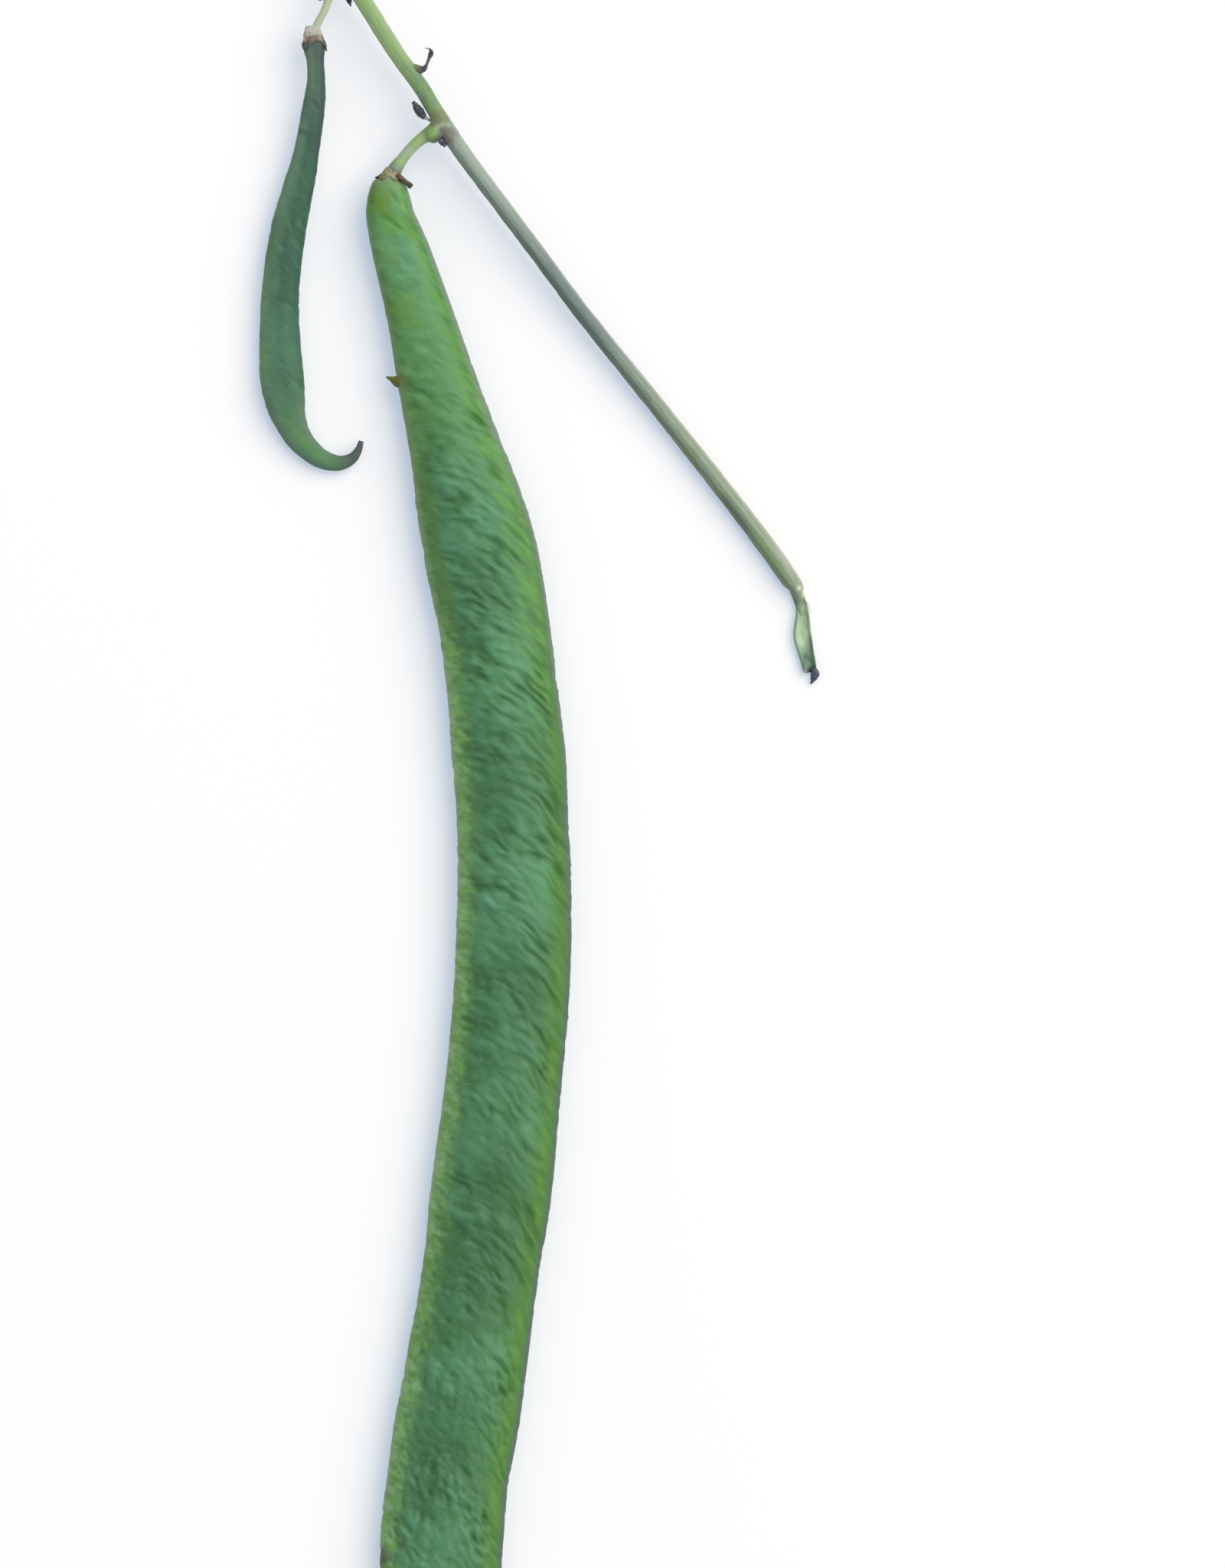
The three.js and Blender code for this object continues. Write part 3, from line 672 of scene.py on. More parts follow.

# %% [markdown]
# Then come the small marks: olive spots on the neck, dark flecks next to the seams, painted shade
# in the furrows, and the stain beside the scab. Those that stand alone are masked by the distance
# from a spot.

# %% Pod skin: flecks and furrows
olive = skin.near((-27.8, 111.6, 7.4), 1.4, 4.6)
spot = skin.near((-21.8, 106.4, 7.5), 0.5, 2.2)
side = abs(across).rise(0.55, 0.8)
marks = side * (0.28 + across.rise(-0.2, 0.2) * 0.24)
glow = across.between(0.7, 0.82, 0.88, 0.95) * along.rise(115, 160)
stain = skin.near((-23.7, 80.4, 5.6), 0.5, 2.2) + skin.near((-23.9, 82.3, 5.2), 0.3, 1.4) * 0.5
green = skin.paint(green, [
    (olive * (mottle * 0.7 + 0.5), (0.102, 0.215, 0.025)),
    (spot * 0.5, (0.08, 0.19, 0.02)),
    (rim_patch * mottle.rise(0.38, 0.6) * 0.85, (0.086, 0.255, 0.042)),
    (mottle.rise(0.55, 0.35) * marks, (0.06, 0.165, 0.035)),
    (speckle.rise(0.5, 0.68) * marks, (0.055, 0.165, 0.03)),
    (grain.rise(0.5, 0.28) * marks, (0.045, 0.155, 0.025)),
    # painted shade in the furrows
    (furrow * (0.5 + across.rise(0.3, 0.7) * 0.3), (0.02, 0.09, 0.015)),
    (glow * mottle.rise(0.42, 0.62) * 0.3, (0.15, 0.3, 0.028)),
    (stain * (mottle * 0.6 + 0.6), (0.13, 0.16, 0.025)),
])

# %% [markdown]
# The rims come last: a painted highlight along the left one, with painted shade on the flank inside
# it, and on the right the grey string of the seam, with painted shade where the edge turns away
# from the light. Far down lie a dark blemish and the beak, which has dried brown.

# %% Pod skin: the rims
# painted highlight on the left rim of the neck; painted shade on the flank inside it
painted_left_rim_light = across.rise(-0.86, -0.97) * along.between(8, 16, 46, 62)
shaded = across.rise(-0.54, -0.74) * along.between(46, 56, 75, 84)
shaded = shaded * (0.6 - across.rise(-0.85, -0.95) * 0.42)
outer = across.rise(0.84, 0.95) * (0.15 + along.rise(35, 80) * 0.45)
line = across.rise(0.94, 0.97)
# the seam's grey string, with painted shade where the edge turns away, darker down the pod
seam_string_and_shade = skin.mix(along.rise(150, 45), (0.08, 0.105, 0.085), (0.17, 0.2, 0.165))
beak = along.rise(284, 291)
blemish = skin.near((-26.4, -124.6, 4.2), 1.2, 3.2)
green = skin.paint(green, [
    (painted_left_rim_light * 0.65, (0.19, 0.235, 0.11)),
    (shaded, (0.054, 0.135, 0.03)),
    (along.rise(4.5, 1.2) * 0.6, (0.19, 0.27, 0.12)),
    (across.rise(0.8, 0.95) * along.rise(80, 40) * 0.6, (0.19, 0.265, 0.17)),
    (outer, (0.07, 0.15, 0.06)),
    (line * (0.55 + patches * 0.5), seam_string_and_shade),
    (beak * 0.8, (0.1, 0.09, 0.05)),
    (blemish * 0.85, (0.06, 0.045, 0.03)),
])
skin.close(green, grain, 0.05, Roughness=0.56 - grain * 0.12)
finish_piece(long_pod, "long_pod_skin", skin, "pod_skin", "long_pod")

# %% [markdown]
# ## The small pod
#
# This pod stopped growing early and hooks to the right. It has hardly any wrinkles: its skin is
# dull and covered in fine down, blue green at the top and livelier below. Its beak has dried dark.
# The tools for the long pod make it too, with fewer rows and only two sizes of folds.

# %% Small pod
SMALL_HALF_WIDTH = [
    (0, 1.4), (1.0, 1.75), (2.2, 1.8), (4, 1.5), (7, 1.52), (10, 1.8), (14, 2.0), (18, 2.05),
    (26, 2.6), (34, 3.0), (46, 3.22), (54, 3.52), (59.5, 3.75), (64, 3.4), (68, 2.65), (72, 2.1),
    (76, 1.7), (79, 1.35), (82, 0.9), (84, 0.6), (86, 0.35),
]
SMALL_THICK_SHARE = 0.72
SMALL_FOLDS = [(2.2, 4.0, 0.6), (0.9, 1.8, 0.5)]
SMALL_SEAM_RISE, SMALL_SEED, SMALL_STRENGTH = 0.12, 23, 0.22

small_pod = cut_tube(sides=64, cuts=(15, 15))
small_half_thick = [(where, size * SMALL_THICK_SHARE) for where, size in SMALL_HALF_WIDTH]
on_small = lay_pod(
    small_pod, small_pod_line, SMALL_HALF_WIDTH, small_half_thick, SMALL_SEAM_RISE
)
ends = smoothstep(1, 12, on_small["along"]) * smoothstep(84, 66, on_small["along"])
wrinkle(small_pod, on_small, SMALL_FOLDS, SMALL_SEED, SMALL_STRENGTH * ends)
print(f"small pod {2 * max(size for _, size in SMALL_HALF_WIDTH):.1f} mm wide")

# %% [markdown]
# Its skin is painted in the same way, in duller and bluer greens. The noise for the down is fine
# and round here, since no wrinkles draw it out.

# %% Small pod's skin: its ground
skin = Finish("young pod skin", Roughness=0.62, Specular_IOR_Level=0.35)
along, across, flow, span = skin.attributes("along across flow span")
down = skin.flow_noise(flow / 0.3, span / 0.3, 1, roughness=0.6)
patches = skin.flow_noise(flow / 5, span / 5, 2, detail=2)
green = skin.mix(along.rise(4, 22), (0.066, 0.105, 0.075), (0.025, 0.086, 0.044))
mottle = skin.flow_noise(flow / 1.9, span / 1.9, 7)
green = skin.paint(green, [
    (along.rise(50, 70), (0.07, 0.175, 0.068)),
    (patches.rise(0.35, 0.7) * 0.35, (0.045, 0.12, 0.07)),
    (mottle.rise(0.5, 0.66) * along.rise(20, 30) * 0.45, (0.062, 0.185, 0.1)),
    (mottle.rise(0.47, 0.33) * along.rise(20, 30) * 0.4, (0.028, 0.085, 0.04)),
])

# %% [markdown]
# Its left side is paler and painted shade darkens its right rim, the hook is livelier in its
# middle, and a dark joint crosses it below the neck.

# %% Small pod's skin: its sides, neck and beak
pale_side = across.rise(0.15, -0.7) * along.between(10, 17, 70, 80)
pale_side = pale_side * (0.36 + along.rise(40, 26) * 0.24)
olive = across.rise(0, -0.5) * along.between(30, 35, 38, 42)
top = along.rise(14, 6)
core = along.between(64, 71, 76, 81) * abs(across - 0.1).rise(0.6, 0.1)
inner = across.rise(0.45, 0.85) * along.between(61, 68, 76, 82)
stripe = across.rise(-0.45, -0.8) * along.between(20, 30, 56, 66)
stripe = stripe * (patches.rise(0.3, 0.6) * 0.35 + along.rise(36, 44) * 0.4)
# painted shade along the right rim, strongest near the top
painted_rim_shade = across.rise(0.68, 0.94) * along.rise(64, 58) * (0.25 + along.rise(34, 26) * 0.3)
joint = abs(along - 16.9 - across * 0.4).rise(0.8, 0.2) * across.rise(0.7, -0.2)
green = skin.paint(green, [
    (pale_side, (0.15, 0.245, 0.165)),
    (olive * 0.35, (0.08, 0.16, 0.05)),
    (down.rise(0.4, 0.75) * 0.3, (0.1, 0.18, 0.13)),
    (abs(along - 53).rise(7, 2) * 0.25, (0.1, 0.245, 0.14)),
    (top * across.rise(0.2, -0.55) * 0.75, (0.12, 0.2, 0.12)),
    (along.rise(26, 16) * across.rise(0.2, 0.8) * 0.7, (0.035, 0.06, 0.055)),
    (core * 0.4, (0.115, 0.26, 0.06)),
    (inner * 0.5, (0.16, 0.2, 0.15)),
    (stripe, (0.12, 0.255, 0.1)),
    (across.rise(-0.55, -0.95) * along.rise(58, 66) * 0.5, (0.11, 0.14, 0.11)),
    (painted_rim_shade, (0.045, 0.07, 0.055)),
    (along.rise(2.2, 1.0) * 0.7, (0.045, 0.085, 0.06)),
    (joint * 0.5, (0.03, 0.06, 0.045)),
    (along.rise(77, 84) * 0.85, (0.075, 0.075, 0.08)),
])
skin.close(green, down, 0.03)
finish_piece(small_pod, "small_pod_skin", skin, "young_pod_skin", "small_pod")

# %% [markdown]
# ## The stalk
#
# The stalk, its short side stalks and the swollen cushions where they leave it have grown as one.
# Curves with a radius at each point make the limbs, and spheres make the cushions. A voxel remesh
# then melts them together, as growing does, and a little smoothing takes its steps away. Ribs run
# along the whole stalk: they are moves of the skin by the angle round its line.

# %% Limbs
STALK_POINTS = [
    (45.0, 43.9, 1.65), (42.1, 48.2, 1.75), (38.3, 53.4, 1.8), (33.5, 59.7, 1.9),
    (20.9, 75.6, 2.4), (7.75, 91.9, 3.3), (-0.2, 102.5, 4.3), (-6.7, 111.1, 5.1),
    (-13.2, 119.8, 5.8), (-17.5, 126.3, 6.2), (-20.2, 130.8, 6.4), (-24.7, 137.1, 6.7),
    (-30.6, 146.4, 6.9), (-35.0, 153.2, 6.8), (-38.2, 160.0, 6.4), (-39.4, 168.4, 5.9),
]
STALK_RADIUS = [
    (0, 0.95), (0.7, 1.35), (2, 1.55), (6, 1.65), (20, 1.58), (60, 1.42), (90, 1.44), (98, 1.5),
    (106, 1.4), (131, 1.45), (138, 1.05), (146, 0.7), (153, 0.4),
]
LIMB_FINENESS = 4


def limb(points, radius, steps=None):
    """A round limb along a line, as a curve with a radius at each point, turned into a mesh."""
    line = Line(points)
    steps = steps or max(4, round(line.length / 2))
    distance = np.linspace(0, line.length, steps + 1)
    at = line.read(line.path, distance)
    size = through(radius, distance)
    select_nothing()
    bpy.ops.curve.primitive_bezier_curve_add()
    stem = bpy.context.object
    spline = stem.data.splines[0]
    spline.bezier_points.add(len(at) - 2)
    for point, place, half in zip(spline.bezier_points, at, size):
        point.co = place * MM
        point.radius = half
        point.handle_left_type = point.handle_right_type = "AUTO"
    stem.data.resolution_u = LIMB_FINENESS
    stem.data.bevel_depth = MM
    stem.data.bevel_resolution = LIMB_FINENESS
    stem.data.use_fill_caps = True
    bpy.ops.object.convert(target="MESH")
    return bpy.context.object


def ball(at, size):
    """A cushion, as a stretched sphere."""
    select_nothing()
    bpy.ops.mesh.primitive_uv_sphere_add(
        segments=32, ring_count=20, location=[v * MM for v in at], scale=[v * MM for v in size]
    )
    bpy.ops.object.transform_apply(location=True, rotation=True, scale=True)
    return bpy.context.object


def melt(parts, voxel, smoothing):
    """Joins parts into one body, remeshes it and smooths it."""
    select_nothing()
    for part in parts:
        part.select_set(True)
    bpy.context.view_layer.objects.active = parts[0]
    bpy.ops.object.join()
    whole = bpy.context.object
    apply_modifier(whole, "REMESH", mode="VOXEL", voxel_size=voxel * MM, adaptivity=0)
    apply_modifier(whole, "SMOOTH", factor=0.5, iterations=smoothing)
    return whole


stalk = melt(
    [
        limb(STALK_POINTS, STALK_RADIUS),
        limb(
            [(-18.4, 123.6, 6.1), (-20.7, 122.1, 6.0), (-22.5, 120.4, 5.7), (-24.3, 118.2, 5.3),
             (-25.2, 116.9, 5.1)],
            [(0, 1.45), (2.4, 1.08), (6, 1.02), (7.8, 1.08), (9.2, 1.35)],
            steps=8,
        ),
        limb(
            [(-33.9, 149.0, 6.9), (-36.2, 147.2, 6.8), (-37.2, 144.8, 6.4), (-38.3, 142.8, 5.9),
             (-38.9, 141.5, 5.6)],
            [(0, 1.3), (2.8, 0.85), (6, 0.7), (9, 0.75)],
            steps=8,
        ),
        limb(
            [(43.6, 46.4, 1.75), (44.7, 44.4, 1.7), (45.3, 42.6, 1.4), (45.6, 41.2, 1.15),
             (45.8, 40.0, 0.85), (45.85, 38.8, 0.5)],
            [(0, 1.2), (2.2, 1.15), (4.1, 0.95), (5.6, 0.72), (6.8, 0.55), (8.1, 0.35)],
            steps=10,
        ),
        limb(
            [(44.3, 46.0, 1.7), (45.2, 44.9, 1.6), (45.8, 43.9, 1.4)],
            [(0, 0.95), (1.4, 0.85), (2.5, 0.5)],
            steps=6,
        ),
        ball((-18.4, 123.0, 6.5), (1.45, 1.5, 1.55)),
        ball((-17.1, 125.0, 6.3), (1.85, 1.9, 1.6)),
        ball((-34.4, 148.8, 6.9), (2.0, 2.0, 1.7)),
        ball((-37.1, 155.4, 6.7), (1.3, 1.3, 1.1)),
        ball((-38.6, 161.4, 6.3), (1.0, 0.9, 0.9)),
    ],
    voxel=0.2,
    smoothing=6,
)
print(f"melted into {len(stalk.data.polygons)} faces")

# %% [markdown]
# ## Ribs of the stalk
#
# Each vertex of the stalk finds its nearest place on the middle line. The angle round the line
# gives ten low ribs, which fade where the vertex is further out than the stalk is thick, as on the
# cushions. The same angle and distance stay on the vertices for the streaks of the finish.

# %% Ribs
RIBS = 10
RIB_RISE = 0.025
stalk_line = Line(STALK_POINTS)


def on_stalk(places, chunk=4000, every=8):
    """For each place: how far along the stalk, the angle round it, and how far off its line."""
    nearest = np.empty(len(places), int)
    knots = stalk_line.path[::every]
    for start in range(0, len(places), chunk):
        off = ((places[start:start + chunk, None] - knots) ** 2).sum(2)
        nearest[start:start + chunk] = off.argmin(1) * every
    away = places - stalk_line.path[nearest]
    above = (away * stalk_line.up[nearest]).sum(1)
    beside = (away * stalk_line.side[nearest]).sum(1)
    return stalk_line.run[nearest], np.arctan2(above, beside), np.linalg.norm(away, axis=1)


places = vertices_of(stalk)
run, turn, off = on_stalk(places)
size = through(STALK_RADIUS, run)
on_main = smoothstep(1.25, 1.05, off / size)
ribs = np.cos(RIBS * turn + 0.6 * np.sin(run / 14)) * RIB_RISE * on_main
knobs = 0.05 * uneven(70, run / 3 + 20, turn * 2 + 20) + 0.03 * uneven(71, run / 0.9, turn * 4 + 20)
move_vertices(stalk, places + normals_of(stalk) * (ribs + knobs)[:, None])
keep_numbers(stalk, along=run, turn=turn, left=np.cos(turn), rib=np.cos(RIBS * turn) * on_main)
print(f"{RIBS} ribs along {stalk_line.length:.0f} mm of stalk")

# %% [markdown]
# ## Skin of the stalk
#
# The stalk is grey green in its middle, fresher at its upper end and paler towards the torn one.
# Fibres streak it along its length, and painted shade darkens the valleys between its ribs. Up to
# the long pod's cushion, painted shade lies on the side turned away from the light and a painted
# highlight along the other edge. Past it both edges carry painted highlights. Where a second pod
# lay across the stalk, painted shadows darken it on either side.

# %% Stalk's skin: its ground and streaks
skin = Finish("stalk skin", Roughness=0.55, Specular_IOR_Level=0.4)
along, turn, rib, left = skin.attributes("along turn rib left")
place = skin.place()
fibre = skin.flow_noise(along / 7, turn * 5, 0, roughness=0.6)
patches = skin.noise(place, 160, 2)
green = skin.mix(along.rise(25, 60), (0.22, 0.275, 0.16), (0.145, 0.19, 0.17))
cloud = skin.flow_noise(along / 2.6, turn, 4)
# painted shadow of a second pod that lay across the stalk, on the stretch beyond it
grey = along.between(50, 58, 66, 76)
# painted shadow of that pod on the stalk's lower left side, on the stretch before it
dark_side = left.rise(-0.2, 0.3) * along.between(12, 15, 19, 23)
lower, upper_part = along.rise(112, 90), along.rise(108, 118)
shade = left.rise(-0.25, 0.6) * (0.3 + along.rise(90, 72) * 0.1)
green = skin.paint(green, [
    (along.rise(74, 92), (0.25, 0.3, 0.24)),
    (along.rise(98, 103), (0.145, 0.225, 0.11)),
    (along.rise(110, 117), (0.22, 0.33, 0.13)),
    (cloud.rise(0.4, 0.65) * along.rise(100, 106) * 0.5, (0.2, 0.36, 0.06)),
    (cloud.rise(0.45, 0.3) * along.rise(100, 106) * 0.4, (0.13, 0.24, 0.14)),
    (fibre.rise(0.35, 0.7) * along.rise(108, 96) * 0.5, (0.33, 0.37, 0.29)),
    # painted shade in the valleys between the ribs
    (rib.rise(0.2, -0.9) * along.rise(110, 60) * 0.3, (0.1, 0.16, 0.09)),
    (grey * 0.4, (0.09, 0.12, 0.125)),
    (along.between(104, 108, 112, 116) * 0.3, (0.11, 0.21, 0.085)),
    (dark_side * 0.4, (0.05, 0.09, 0.045)),
    # painted shade on the side away from the light, then painted highlights along the edges
    (shade * lower, (0.06, 0.1, 0.065)),
    (left.rise(-0.1, 0.8) * along.rise(105, 115) * 0.5, (0.36, 0.5, 0.25)),
    (left.rise(-0.35, -0.85) * upper_part * 0.35, (0.38, 0.42, 0.33)),
    (left.rise(-0.6, -0.95) * lower * 0.45, (0.42, 0.4, 0.33)),
    (patches.rise(0.55, 0.75) * 0.25, (0.2, 0.2, 0.12)),
])

# %% [markdown]
# Where the pods' short stems leave it, the stalk is swollen and marked: both stems are pale, and
# the cushion round the long pod's has a fresh green knee, a corky scar and a ragged light rim where
# scales dropped off. Painted shade lies just under the knee, and purple brown painted shade between
# the cushion and the stalk. Each mark is a spot, and most are broken up by noise.

# %% Stalk's skin: the cushions
pale = skin.near((-22.4, 120.6, 5.9), 2.2, 4.4)
blot = skin.noise(place, 700, 2)
knee = skin.near((-18.7, 123.1, 7.5), 0.4, 2.0) * (blot + 0.4)
rim = skin.near((-17.6, 124.4, 7.6), 0.2, 0.8) + skin.near((-16.7, 124.8, 7.8), 0.2, 0.7)
rim = rim + skin.near((-15.8, 124.5, 7.4), 0.2, 0.8) * 0.7
scar = skin.near((-17.2, 126.1, 7.7), 0.6, 2.2) * blot.rise(0.2, 0.55)
# purple brown painted shade between the cushion and the stalk
painted_cushion_shade = skin.near((-15.8, 122.8, 7.2), 0.8, 2.3) * blot.rise(0.15, 0.5)
top = skin.near((-37.6, 144.2, 6.4), 2.5, 4.5)
green = skin.paint(green, [
    (pale * 0.8, (0.37, 0.45, 0.31)),
    (pale * patches.rise(0.4, 0.55) * 0.75, (0.27, 0.4, 0.09)),
    (knee * 0.8, (0.2, 0.33, 0.06)),
    # painted shade just under the knee
    (skin.near((-17.6, 122.2, 7.2), 0.3, 1.5) * 0.85, (0.055, 0.085, 0.03)),
    (rim * blot.rise(0.25, 0.5) * 0.6, (0.5, 0.5, 0.36)),
    (scar * 0.8, (0.18, 0.16, 0.065)),
    (painted_cushion_shade * 0.9, (0.17, 0.135, 0.12)),
    (top * 0.85, (0.47, 0.5, 0.36)),
])

# %% [markdown]
# Near the torn end the skin is rubbed off on one side, and the torn edges are nearly white. Painted
# light lifts the tip of the tongue that runs down into the strip.

# %% Stalk's skin: the torn end
ragged = along + (fibre - 0.5) * 6
bare = ragged.rise(13, 5) * along.rise(1, 5) * left.rise(-0.2, -0.75)
torn = skin.near((45.5, 44.2, 2.7), 0.2, 1.0) + skin.near((46.2, 43.4, 1.6), 0.3, 1.1)
notch = skin.near((44.6, 42.2, 1.4), 0.3, 1.0) * blot.rise(0.2, 0.5)
# painted light on the tip of the tongue, where it meets the strip
painted_tip_light = skin.near((45.8, 40.4, 1.3), 0.4, 1.9)
fresh = along.between(2, 5, 9, 14) * abs(left - 0.2).rise(0.6, 0.2)
green = skin.paint(green, [
    (bare * 0.8, (0.36, 0.37, 0.29)),
    (torn * blot.rise(0.3, 0.6) * 0.75, (0.6, 0.63, 0.47)),
    (notch * 0.7, (0.07, 0.11, 0.08)),
    (painted_tip_light * 0.8, (0.3, 0.42, 0.24)),
    (fresh * 0.45, (0.16, 0.28, 0.09)),
])
skin.close(green, fibre, 0.05)
finish_piece(stalk, "flower_stalk", skin, "stalk_skin", "stalk")

# %% [markdown]
# ## The calyxes
#
# A calyx is what is left of the green cup that held the flower: a thin, dry collar round the neck
# of the pod, ending in a few lobes. It follows the pod's own skin, so it is a short tube, laid on
# that skin a little further out, with its open rim pulled into lobes and given a wall.

# %% Calyx's shape
BELL_SHARE, BELL_TAPER = 0.4, 0.36


def calyx(line, half_width, half_thick, back, front, lobes, seed, wall=0.3):
    """A cup round a pod's neck. A lobe is (angle, length, how far it stands off, half turn)."""
    cup = cut_tube(sides=72, cuts=(23,), ends="NOTHING")
    x, y, z = (vertices_of(cup) * MM).T
    share, turn = z + 0.5, np.arctan2(y, x)
    reach, stand = np.zeros(len(turn)), np.zeros(len(turn))
    for middle, length, off, half in lobes:
        away = np.arctan2(np.sin(turn - middle), np.cos(turn - middle)) / half
        reach += length * np.exp(-away**2)
        stand += off * np.exp(-away**2)
    forward = np.clip((share - BELL_SHARE) / (1 - BELL_SHARE), 0, 1)
    behind = np.clip(1 - share / BELL_SHARE, 0, 1)
    distance = (front + reach) * forward
    across, height, _ = section(turn)
    width, thick = through(half_width, distance), through(half_thick, distance)
    shrink = 1 - BELL_TAPER * behind**1.4
    crumple = 0.12 * uneven(seed, share * 6 + 5, turn * 2.2 + 9)
    crumple += 0.06 * uneven(seed + 1, share * 14, turn * 6 + 20)
    gap = wall + stand * forward**2 + crumple
    outward, upward = (width + gap) * across * shrink, (thick + gap) * height * shrink
    lay(cup, line, distance, outward, upward, -behind * back)
    keep_numbers(cup, forward=forward, behind=behind, lobe=np.clip(reach / 1.2, 0, 1))
    apply_modifier(cup, "SOLIDIFY", thickness=wall * MM, offset=-1)
    apply_modifier(cup, "SUBSURF", levels=1, render_levels=1)
    return cup


long_calyx = calyx(
    long_pod_line, LONG_HALF_WIDTH, LONG_HALF_THICK, back=1.1, front=0.5,
    lobes=[(0.1, 0.8, 0.4, 0.42), (1.4, 0.7, 0.05, 0.42), (2.7, 0.9, 0.05, 0.42),
           (3.6, 0.8, 0.1, 0.42), (5.0, 0.7, 0.05, 0.42)],
    seed=31,
)
small_calyx = calyx(
    small_pod_line, SMALL_HALF_WIDTH, small_half_thick, back=2.2, front=0.3,
    lobes=[(0.1, 2.3, 0.15, 0.5), (1.2, 0.4, 0.0, 0.4), (2.1, 0.5, 0.0, 0.4),
           (3.0, 1.9, 0.2, 0.5), (4.5, 0.7, 0.05, 0.42)],
    seed=41,
)
print("calyxes:", len(long_calyx.data.polygons), "and", len(small_calyx.data.polygons), "faces")

# %% [markdown]
# Both calyxes have dried to flecked straw and brown, darkest on their lobes. Only the spots and
# the shade differ, so one function makes the finish of each.

# %% Calyx's finish
def calyx_skin(name, ground, pale, dark, spots=(), cream=0):
    """Dry flecked skin; each spot is (where, inner, outer, colour)."""
    skin = Finish(name, Roughness=0.8, Specular_IOR_Level=0.25)
    forward, lobe, behind = skin.attributes("forward lobe behind")
    fleck = skin.noise(skin.place(), 900, 3, 0.6)
    patches = skin.noise(skin.place(), 420, 2)
    brown = skin.mix(patches.rise(0.35, 0.65), ground, pale)
    brown = skin.paint(brown, [
        (behind.rise(0.05, 0.35) * cream, pale),
        (fleck.rise(0.5, 0.75) * 0.6, dark),
        (forward.rise(0.6, 1.0) * 0.3, dark),
        (lobe.rise(0.45, 0.9) * forward.rise(0.05, 0.4) * 0.9, dark),
        *((skin.near(where, inner, outer), colour) for where, inner, outer, colour in spots),
    ])
    return skin.close(brown, fleck, 0.08)


straw = calyx_skin(
    "long calyx", (0.26, 0.245, 0.135), (0.39, 0.365, 0.245), (0.11, 0.065, 0.04),
    spots=[
        ((-27.8, 115.7, 5.6), 0.4, 1.3, (0.07, 0.04, 0.025)),
        ((-23.9, 115.2, 7.0), 0.3, 1.1, (0.13, 0.055, 0.035)),
    ],
)
cream = calyx_skin(
    "small calyx", (0.2, 0.14, 0.1), (0.5, 0.47, 0.38), (0.05, 0.055, 0.05), cream=0.8
)
finish_piece(long_calyx, "long_pod_collar", straw, "dry_calyx", "long_pod_calyx")
finish_piece(small_calyx, "small_pod_collar", cream, "dry_calyx", "small_pod_calyx")

# %% [markdown]
# ## Withered flower remains
#
# A curled flower stem, a dry bud and a few shrivelled scales stay on the stalk. They are limbs
# like the stalk itself, made thin and uneven, and crumpled by small moves along their normals.

# %% Withered bits
def withered(name, finish, slot, points, radius, seed, depth=0.1, cell=0.5, steps=8, nodes=()):
    """A thin limb, crumpled by heights `depth` mm high in cells of `cell` mm, and finished."""
    piece = limb(points, radius, steps)
    apply_modifier(piece, "REMESH", mode="VOXEL", voxel_size=0.08 * MM, adaptivity=0)
    apply_modifier(piece, "SMOOTH", factor=0.5, iterations=2)
    places = vertices_of(piece)
    x, y, z = places.T
    lift = uneven(seed, x / cell + 60, y / cell + 60)
    lift += 0.5 * uneven(seed + 1, y / (0.5 * cell) + 60, z / (0.5 * cell) + 60)
    move_vertices(piece, places + normals_of(piece) * (lift * depth)[:, None])
    return finish_piece(piece, name, finish, slot, *nodes)


def withered_skin(name, dark, light, share, spots=()):
    """Flecked dry skin; each spot is (where, inner, outer, colour)."""
    skin = Finish(name, Roughness=0.85, Specular_IOR_Level=0.2)
    fleck = skin.noise(skin.place(), 1400, 3, 0.6)
    brown = skin.paint(skin.mix(fleck.rise(0.4, 0.75) * share, dark, light), [
        (skin.near(where, inner, outer) * (1.1 - fleck * 0.5), colour)
        for where, inner, outer, colour in spots
    ])
    return skin.close(brown, fleck, 0.06)


stem_finish = withered_skin("withered stem", (0.1, 0.1, 0.085), (0.2, 0.2, 0.16), 0.7, [
    ((-18.75, 137.1, 7.9), 0.4, 0.8, (0.03, 0.022, 0.035)),
    ((-19.7, 137.95, 8.0), 0.4, 0.9, (0.5, 0.47, 0.4)),
    ((-20.0, 134.5, 7.4), 0.3, 0.9, (0.07, 0.05, 0.06)),
    ((-21.6, 134.6, 6.8), 0.5, 1.3, (0.15, 0.22, 0.1)),
])
withered(
    "curled_stem", stem_finish, "withered_flower",
    [(-21.7, 134.4, 6.6), (-20.6, 134.3, 6.9), (-19.9, 134.5, 7.1), (-19.4, 135.4, 7.4),
     (-19.0, 136.4, 7.7), (-18.7, 137.2, 7.9), (-19.0, 137.8, 8.0), (-19.8, 138.0, 8.0)],
    [(0, 1.0), (1.1, 0.8), (1.9, 0.48), (2.9, 0.26), (4.0, 0.32), (4.8, 0.5), (5.5, 0.24),
     (6.3, 0.14)],
    seed=51, depth=0.06, cell=0.6, steps=14, nodes=["curled_flower_stem"],
)
bud_finish = withered_skin("withered bud", (0.045, 0.05, 0.055), (0.16, 0.16, 0.17), 0.6, [
    ((-19.2, 125.8, 6.1), 0.4, 1.0, (0.4, 0.42, 0.34)),
])
